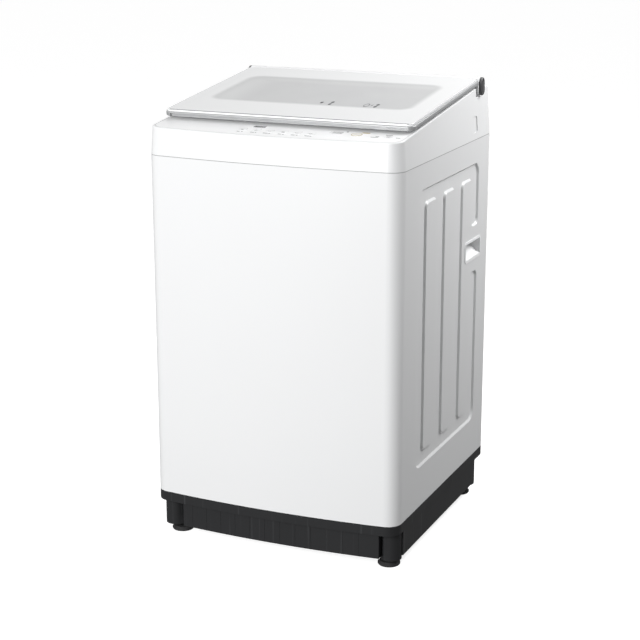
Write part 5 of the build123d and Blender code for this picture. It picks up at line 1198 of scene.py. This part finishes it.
@dataclass
class ControlPanel(Assembly):
    """The printed marks, lamps and digits of the panel, in millimetres on the deck."""

    key_x: Tuple[float, ...] = (-70.0, -41.0, -12.0, 17.0, 46.0, 75.0)
    key_v: float = 25.0
    key_top: float = 0.6
    label_v: float = 11.5
    label_width: float = 2.6
    label_long: float = 7.0
    label_growth: float = 2.0
    label_short: float = 3.5
    label_left: float = -3.0
    label_right: float = 5.5
    lamp_v: float = 35.5
    lamp_shift: float = 6.0
    lamp_radius: float = 1.0
    lamp_rim: float = 0.25
    lamp_sink: float = 0.05
    start: Spot = (162.0, 44.0)
    start_frame: Tuple[Stroke, ...] = (
        Stroke(Figure.RING, 11.2, 1.5),
        Stroke(Figure.BAR, 17.0, 6.5, 14.0, 14.5),
    )
    start_sign: Tuple[Stroke, ...] = (
        Stroke(Figure.WEDGE, 3.0, x=-2.4, turn=-90.0),
        *(Stroke(Figure.BAR, 5.0, 1.2, x=x, turn=90.0) for x in (2.2, 4.6)),
    )
    power: Spot = (228.0, 40.0)
    power_ring: Stroke = Stroke(Figure.RING, 3.8, 0.8)
    power_gap: Spot = (1.5, 2.2)
    power_bar: Stroke = Stroke(Figure.BAR, 3.6, 0.9, v=2.6, turn=90.0)
    display: Spot = (-46.0, 54.0)
    digit_x: Tuple[float, ...] = (-7.0, 0.6, 6.8)
    segment: Spot = (2.6, 0.6)
    colon: Tuple[Stroke, ...] = tuple(Stroke(Figure.DISC, 0.5, x=-3.2, v=v) for v in (-1.4, 1.4))
    steps_x: float = 121.0
    steps_v: Tuple[float, ...] = (43.0, 48.0, 53.0)
    step_bar: Spot = (22.0, 1.5)
    step_lamp: float = -14.0
    step_dot: Stroke = Stroke(Figure.DISC, 2.4, x=138.0, v=58.0)
    note_width: float = 2.2
    notes: Tuple[Triple, ...] = ((202.0, 33.0, 15.0), (206.0, 39.0, 8.0), (248.0, 38.0, 9.0),
                                 (225.0, 53.0, 14.0))
    key_signs: Tuple[Tuple[Stroke, ...], ...] = (
        (Stroke(Figure.BAR, 6.0, 1.2, v=1.0), Stroke(Figure.BAR, 4.0, 1.2, v=-1.6)),
        (Stroke(Figure.RING, 2.6, 0.7),),
        tuple(Stroke(Figure.WEDGE, 1.7, x=x, turn=-90.0) for x in (-2.0, 1.6)),
        tuple(Stroke(Figure.BAR, 7.0, 1.0, v=v) for v in (1.8, 0.0, -1.8)),
        tuple(Stroke(Figure.DISC, 1.1, x=x) for x in (-2.6, 0.0, 2.6)),
        (Stroke(Figure.RING, 2.6, 0.6, x=-1.0), Stroke(Figure.BAR, 3.4, 0.8, x=3.2)),
    )
    segments: Tuple[Triple, ...] = ((0.0, 3.2, 0.0), (0.0, 0.0, 0.0), (0.0, -3.2, 0.0), (-2.0, 1.6, 90.0),
                                    (2.0, 1.6, 90.0), (-2.0, -1.6, 90.0), (2.0, -1.6, 90.0))

    def build(self) -> None:
        """Make every mark of the panel."""
        self._labels()
        self._lamps()
        self._key_signs()
        self._start_marks()
        self._power_sign()
        self._digits()

    def _labels(self) -> None:
        """Print plain dashes under the keys and beside the round keys."""
        strokes = []
        for index, x in enumerate(self.key_x):
            left = x + self.label_left + index % 2
            right = x + self.label_right
            long = self.label_long + self.label_growth * (index % 3)
            strokes.append(Stroke(Figure.BAR, long, self.label_width, left, self.label_v))
            strokes.append(Stroke(Figure.BAR, self.label_short, self.label_width, right, self.label_v))
        strokes += [Stroke(Figure.BAR, *self.step_bar, self.steps_x, v) for v in self.steps_v]
        strokes.append(self.step_dot)
        strokes += [Stroke(Figure.BAR, long, self.note_width, x, v) for x, v, long in self.notes]
        self.workshop.print_marks(strokes, "panel_dashes", Body.CABINET, "panel_film", "print_grey")

    def _lamps(self) -> None:
        """Set a small lamp window behind every key and along the steps."""
        spots = [(x + self.lamp_shift, self.lamp_v) for x in self.key_x]
        spots += [(self.steps_x + self.step_lamp, v) for v in self.steps_v]
        lens = Stroke(Figure.DISC, self.lamp_radius).draw()
        Bench.top_faces(lens)
        bpy.ops.mesh.inset(thickness=self.lamp_rim * MM, depth=-self.lamp_sink * MM)
        Bench.clear()
        lamps = Bench.copies(lens, [DECK.matrix(*spot) for spot in spots])
        self.workshop.finish(lamps, "panel_lamps", Body.CABINET, "smoked_lens", "lamp_off")

    def _key_signs(self) -> None:
        """Print one plain sign on each oblong key."""
        for number, (x, sign) in enumerate(zip(self.key_x, self.key_signs), 1):
            key = f"option_key_{number}"
            spot = (x, self.key_v)
            self.workshop.print_marks(sign, f"{key}_sign", key, "key_white", "print_grey", spot, self.key_top)

    def _start_marks(self) -> None:
        """Print the gold ring and pill of the start key, and its own sign."""
        self.workshop.print_marks(self.start_frame, "start_ring", Body.CABINET, "key_gold", "print_gold",
                                  self.start)
        self.workshop.print_marks(self.start_sign, "start_key_sign", Body.START, "key_white", "print_white",
                                  self.start, self.key_top)

    def _power_sign(self) -> None:
        """Print an open ring with a bar on the round key."""
        half_gap, gap_v = self.power_gap
        ring = self.power_ring.draw()
        Bench.pick(ring, Part.FACES,
                   lambda middle, normal: middle.y > gap_v * MM and abs(middle.x) < half_gap * MM)
        bpy.ops.mesh.delete(type="FACE")
        Bench.everything(ring, Part.EDGES)
        bpy.ops.mesh.region_to_loop()
        bpy.ops.mesh.edge_face_add()
        Bench.place(ring, DECK.matrix(*self.power, self.key_top))
        bar = self.power_bar.lay(*self.power, self.key_top)
        self.workshop.finish(Bench.join([ring, bar]), "power_key_sign", Body.POWER, "key_white", "print_grey")

    def _digits(self) -> None:
        """Lay the dim segments of three digits and a colon in the display."""
        strokes = [Stroke(Figure.BAR, *self.segment, shift + x, v, turn)
                   for shift in self.digit_x for x, v, turn in self.segments]
        self.workshop.print_marks((*strokes, *self.colon), "display_digits", Body.CABINET, "smoked_lens",
                                  "segment_off", self.display)


@dataclass
class LidMarks(Assembly):
    """Small plain marks on the lid's window, in millimetres on the deck."""

    top: float = 19.0
    stretch: float = 2.2
    ring: Spot = (123.0, 193.0)
    ring_size: Spot = (5.6, 1.1)
    bar: Spot = (134.0, 193.0)
    bar_radius: float = 0.9
    dot_radius: float = 3.0
    dots: Tuple[Spot, ...] = ((26.0, 194.0), (47.0, 185.0), (47.0, 201.0), (144.0, 185.0), (144.0, 201.0))

    def build(self) -> None:
        """Print a ring, a bar and dots, stretched so that they read well from the front."""
        strokes = [Stroke(Figure.RING, *self.ring_size, *self.ring, stretch=self.stretch)]
        strokes.append(Stroke(Figure.DIAMOND, self.bar_radius, 0.0, *self.bar, stretch=self.stretch ** 3))
        strokes += [Stroke(Figure.DISC, self.dot_radius, 0.0, *dot, stretch=self.stretch)
                    for dot in self.dots]
        self.workshop.print_marks(strokes, "window_marks", Body.LID, "lid_pane", "print_grey", w=self.top)


@dataclass
class Basket(Assembly):
    """The perforated drum and what stands in it, in millimetres and degrees."""

    radius: float = 214.0
    bottom: float = 306.0
    height: float = 409.0
    sheet: float = 1.0
    columns: int = 60
    rows: int = 14
    hole: float = 3.6
    bead_rows: Tuple[int, ...] = (2, 12)
    bead_share: float = 0.988
    weld: float = 0.2
    filter_radius: float = 200.2
    filter_bottom: float = 522.0
    filter_height: float = 146.0
    filter_arc: float = 20.0
    net_columns: int = 14
    net_rows: int = 26
    net_wire: float = 1.0
    ring_screw_radius: float = 203.0
    ring_screws: int = 12
    screw_radius: float = 4.2
    screw_height: float = 2.4
    screw_rim: Spot = (0.9, 0.5)
    screw_land: float = 1.3
    screw_socket: float = 1.2

    def build(self) -> None:
        """Make the drum wall, the filter nets and the ring's screws."""
        self._wall()
        self._nets()
        self._screws()

    def _wall(self) -> None:
        """Roll a perforated sheet into the drum."""
        wide = math.tau * self.radius / self.columns
        tall = self.height / self.rows
        cell = Bench.add(bpy.ops.mesh.primitive_grid_add, x_subdivisions=2, y_subdivisions=2, size=MM)
        corner = at(wide / 2, 0.0, tall / 2)
        Bench.place(cell, corner @ UPRIGHT @ Matrix.Diagonal((wide, tall, 1.0, 1.0)))
        heart = corner.translation
        Bench.pick(cell, Part.VERTS, lambda middle, normal: (middle - heart).length < 0.01 * MM)
        bpy.ops.mesh.bevel(offset=self.hole * MM, affect="VERTICES", segments=2)
        Bench.pick(cell, Part.FACES, lambda middle, normal: (middle - heart).length < 0.2 * self.hole * MM)
        bpy.ops.mesh.delete(type="FACE")
        Bench.clear()
        merged = {"use_relative_offset": False, "use_constant_offset": True, "use_merge_vertices": True}
        for count, step in ((self.rows, (0.0, 0.0, tall * MM)), (self.columns, (wide * MM, 0.0, 0.0))):
            Bench.apply(cell, "ARRAY", count=count, constant_offset_displace=step, **merged)
        Bench.apply(cell, "SIMPLE_DEFORM", deform_method="BEND", deform_axis="Z", angle=math.tau)
        corners = [Vector(point) for point in cell.bound_box]
        centre = sum(corners, Vector()) / len(corners)
        target = Vector((*DRUM_AXIS, self.bottom + self.height / 2)) * MM
        Bench.place(cell, Matrix.Translation(target - centre))
        Bench.tidy(cell, self.weld)
        for row in self.bead_rows:
            level = (self.bottom + row * tall) * MM
            Bench.pick(cell, Part.VERTS, lambda middle, normal: abs(middle.z - level) < 0.3 * MM)
            bpy.ops.transform.resize(value=(self.bead_share, self.bead_share, 1.0),
                                     center_override=(target.x, target.y, level))
        Bench.apply(cell, "SOLIDIFY", thickness=self.sheet * MM, offset=-1.0)
        self.workshop.finish(cell, "perforated_drum", Body.BASKET, "stainless",
                             stands_for=("basket_wall",), angle=Workshop.ROUND)

    def _nets(self) -> None:
        """Bend a fine net over the face of each lint filter."""
        arc = math.radians(self.filter_arc)
        net = Bench.add(bpy.ops.mesh.primitive_grid_add, x_subdivisions=self.net_columns,
                        y_subdivisions=self.net_rows, size=MM)
        flat = Matrix.Diagonal((self.filter_radius * arc, self.filter_height, 1.0, 1.0))
        Bench.place(net, UPRIGHT @ flat)
        Bench.apply(net, "WIREFRAME", thickness=self.net_wire * MM, use_boundary=True)
        Bench.apply(net, "SIMPLE_DEFORM", deform_method="BEND", deform_axis="Z", angle=arc)
        points = [vertex.co for vertex in net.data.vertices]
        edge = max(points, key=lambda point: abs(point.x))
        middle = min(points, key=lambda point: abs(point.x))
        towards = 1.0 if edge.y > middle.y else -1.0
        face = turned(-90.0 * towards, "Z") @ at(0.0, -towards * self.filter_radius, 0.0)
        lift = at(*DRUM_AXIS, self.filter_bottom + self.filter_height / 2)
        nets = Bench.copies(net, [lift @ face, lift @ turned(180.0, "Z") @ face])
        self.workshop.finish(nets, "filter_nets", Body.BASKET, "drawer_blue")

    def _screws(self) -> None:
        """Set recessed screws in the top of the balance ring."""
        screw = Bench.add(bpy.ops.mesh.primitive_cylinder_add, vertices=20, radius=self.screw_radius * MM,
                          depth=self.screw_height * MM)
        rim, rise = self.screw_rim
        Bench.top_faces(screw)
        bpy.ops.mesh.inset(thickness=rim * MM, depth=rise * MM)
        bpy.ops.mesh.inset(thickness=self.screw_land * MM)
        sink = (0.0, 0.0, -self.screw_socket * MM)
        bpy.ops.mesh.extrude_region_move(TRANSFORM_OT_translate={"value": sink})
        Bench.clear()
        places = Bench.round_drum("balance_ring", self.ring_screw_radius, self.ring_screws)
        self.workshop.finish(Bench.copies(screw, places), "ring_screws", Body.BASKET, "zinc_steel")


@dataclass
class Pulsator(Assembly):
    """Rubbing studs on the pulsator, in millimetres."""

    rings: Tuple[Tuple[float, int], ...] = ((70.0, 12), (105.0, 20), (138.0, 28))
    stud_radius: float = 4.0
    stud_height: float = 3.0
    dome: Tuple[Spot, ...] = ((1.4, 0.9), (1.2, 0.3))
    search_top: float = 500.0

    def build(self) -> None:
        """Model one domed stud and stand copies of it on the dish."""
        stud = Bench.add(bpy.ops.mesh.primitive_cylinder_add, vertices=12, radius=self.stud_radius * MM,
                         depth=2.0 * self.stud_height * MM)
        Bench.top_faces(stud)
        for inset, rise in self.dome:
            bpy.ops.mesh.inset(thickness=inset * MM, depth=rise * MM)
        Bench.pick(stud, Part.FACES, lambda middle, normal: normal.z < -0.9)
        bpy.ops.mesh.delete(type="FACE")
        Bench.clear()
        places = []
        for radius, count in self.rings:
            places += Bench.round_drum("pulsator", radius, count, self.search_top)
        self.workshop.finish(Bench.copies(stud, places), "pulsator_studs", Body.PULSATOR, "pulsator_grey")


@dataclass
class Suspension(Assembly):
    """The springs and the drain's bellows, which give as the tub bounces, in millimetres."""

    rod_x: float = 208.0
    rod_y: float = 205.0
    coil_bottom: float = 255.9
    coil_rise: float = 70.2
    coil_radius: float = 14.0
    wire_radius: float = 1.6
    turns: int = 5
    steps: int = 20
    hose_x: float = -110.0
    hose_y: float = 155.0
    hose_bottom: float = 112.0
    hose_height: float = 132.0
    hose_radius: float = 16.0
    hose_wall: float = 2.2
    fold_depth: float = 4.9
    folds: int = 6
    rings: int = 8

    def build(self) -> None:
        """Make the springs and the bellows."""
        self._springs()
        self._bellows()

    def _springs(self) -> None:
        """Wind one spring and set it on each of the four rods."""
        coil = Bench.add(bpy.ops.mesh.primitive_circle_add, vertices=10, radius=self.wire_radius * MM)
        Bench.place(coil, at(self.coil_radius, 0.0, 0.0) @ UPRIGHT)
        Bench.apply(coil, "SCREW", screw_offset=self.coil_rise / self.turns * MM, iterations=self.turns,
                    steps=self.steps, render_steps=self.steps)
        Bench.everything(coil, Part.EDGES)
        bpy.ops.mesh.fill_holes(sides=0)
        Bench.tidy(coil)
        places = [at(x, DRUM_AXIS[1] + y, self.coil_bottom)
                  for x in (-self.rod_x, self.rod_x) for y in (-self.rod_y, self.rod_y)]
        self.workshop.flex(Bench.copies(coil, places), "spring_coils", "zinc_steel", "suspension_springs")

    def _bellows(self) -> None:
        """Draw a tube out into folds and give it a wall."""
        hose = Bench.add(bpy.ops.mesh.primitive_cylinder_add, vertices=40, radius=self.hose_radius * MM,
                         depth=self.hose_height * MM, end_fill_type="NOTHING")
        Bench.pick(hose, Part.EDGES, lambda middle, normal: abs(middle.z) < 0.001 * MM)
        bpy.ops.mesh.subdivide(number_cuts=self.folds * self.rings - 1)
        Bench.clear()
        for corner in hose.data.vertices:
            share = corner.co.z / (self.hose_height * MM) + 0.5
            swell = 0.5 * self.fold_depth * (1.0 - math.cos(share * self.folds * math.tau))
            corner.co.xy *= 1.0 + swell / self.hose_radius
        Bench.apply(hose, "SOLIDIFY", thickness=self.hose_wall * MM, offset=-1.0)
        Bench.place(hose, at(self.hose_x, self.hose_y, self.hose_bottom + self.hose_height / 2))
        Bench.tidy(hose)
        self.workshop.flex(hose, "bellows_rubber", "black_rubber", "drain_bellows")


def main() -> None:
    """Build and dress the machine."""
    logging.basicConfig(level=logging.INFO)
    Studio().build()
    wardrobe = Wardrobe()
    wardrobe.dress_nodes()
    workshop = Workshop(wardrobe)
    for assembly in (ControlPanel, LidMarks, Basket, Pulsator, Suspension):
        assembly(workshop).build()


if __name__ == "__main__":
    main()
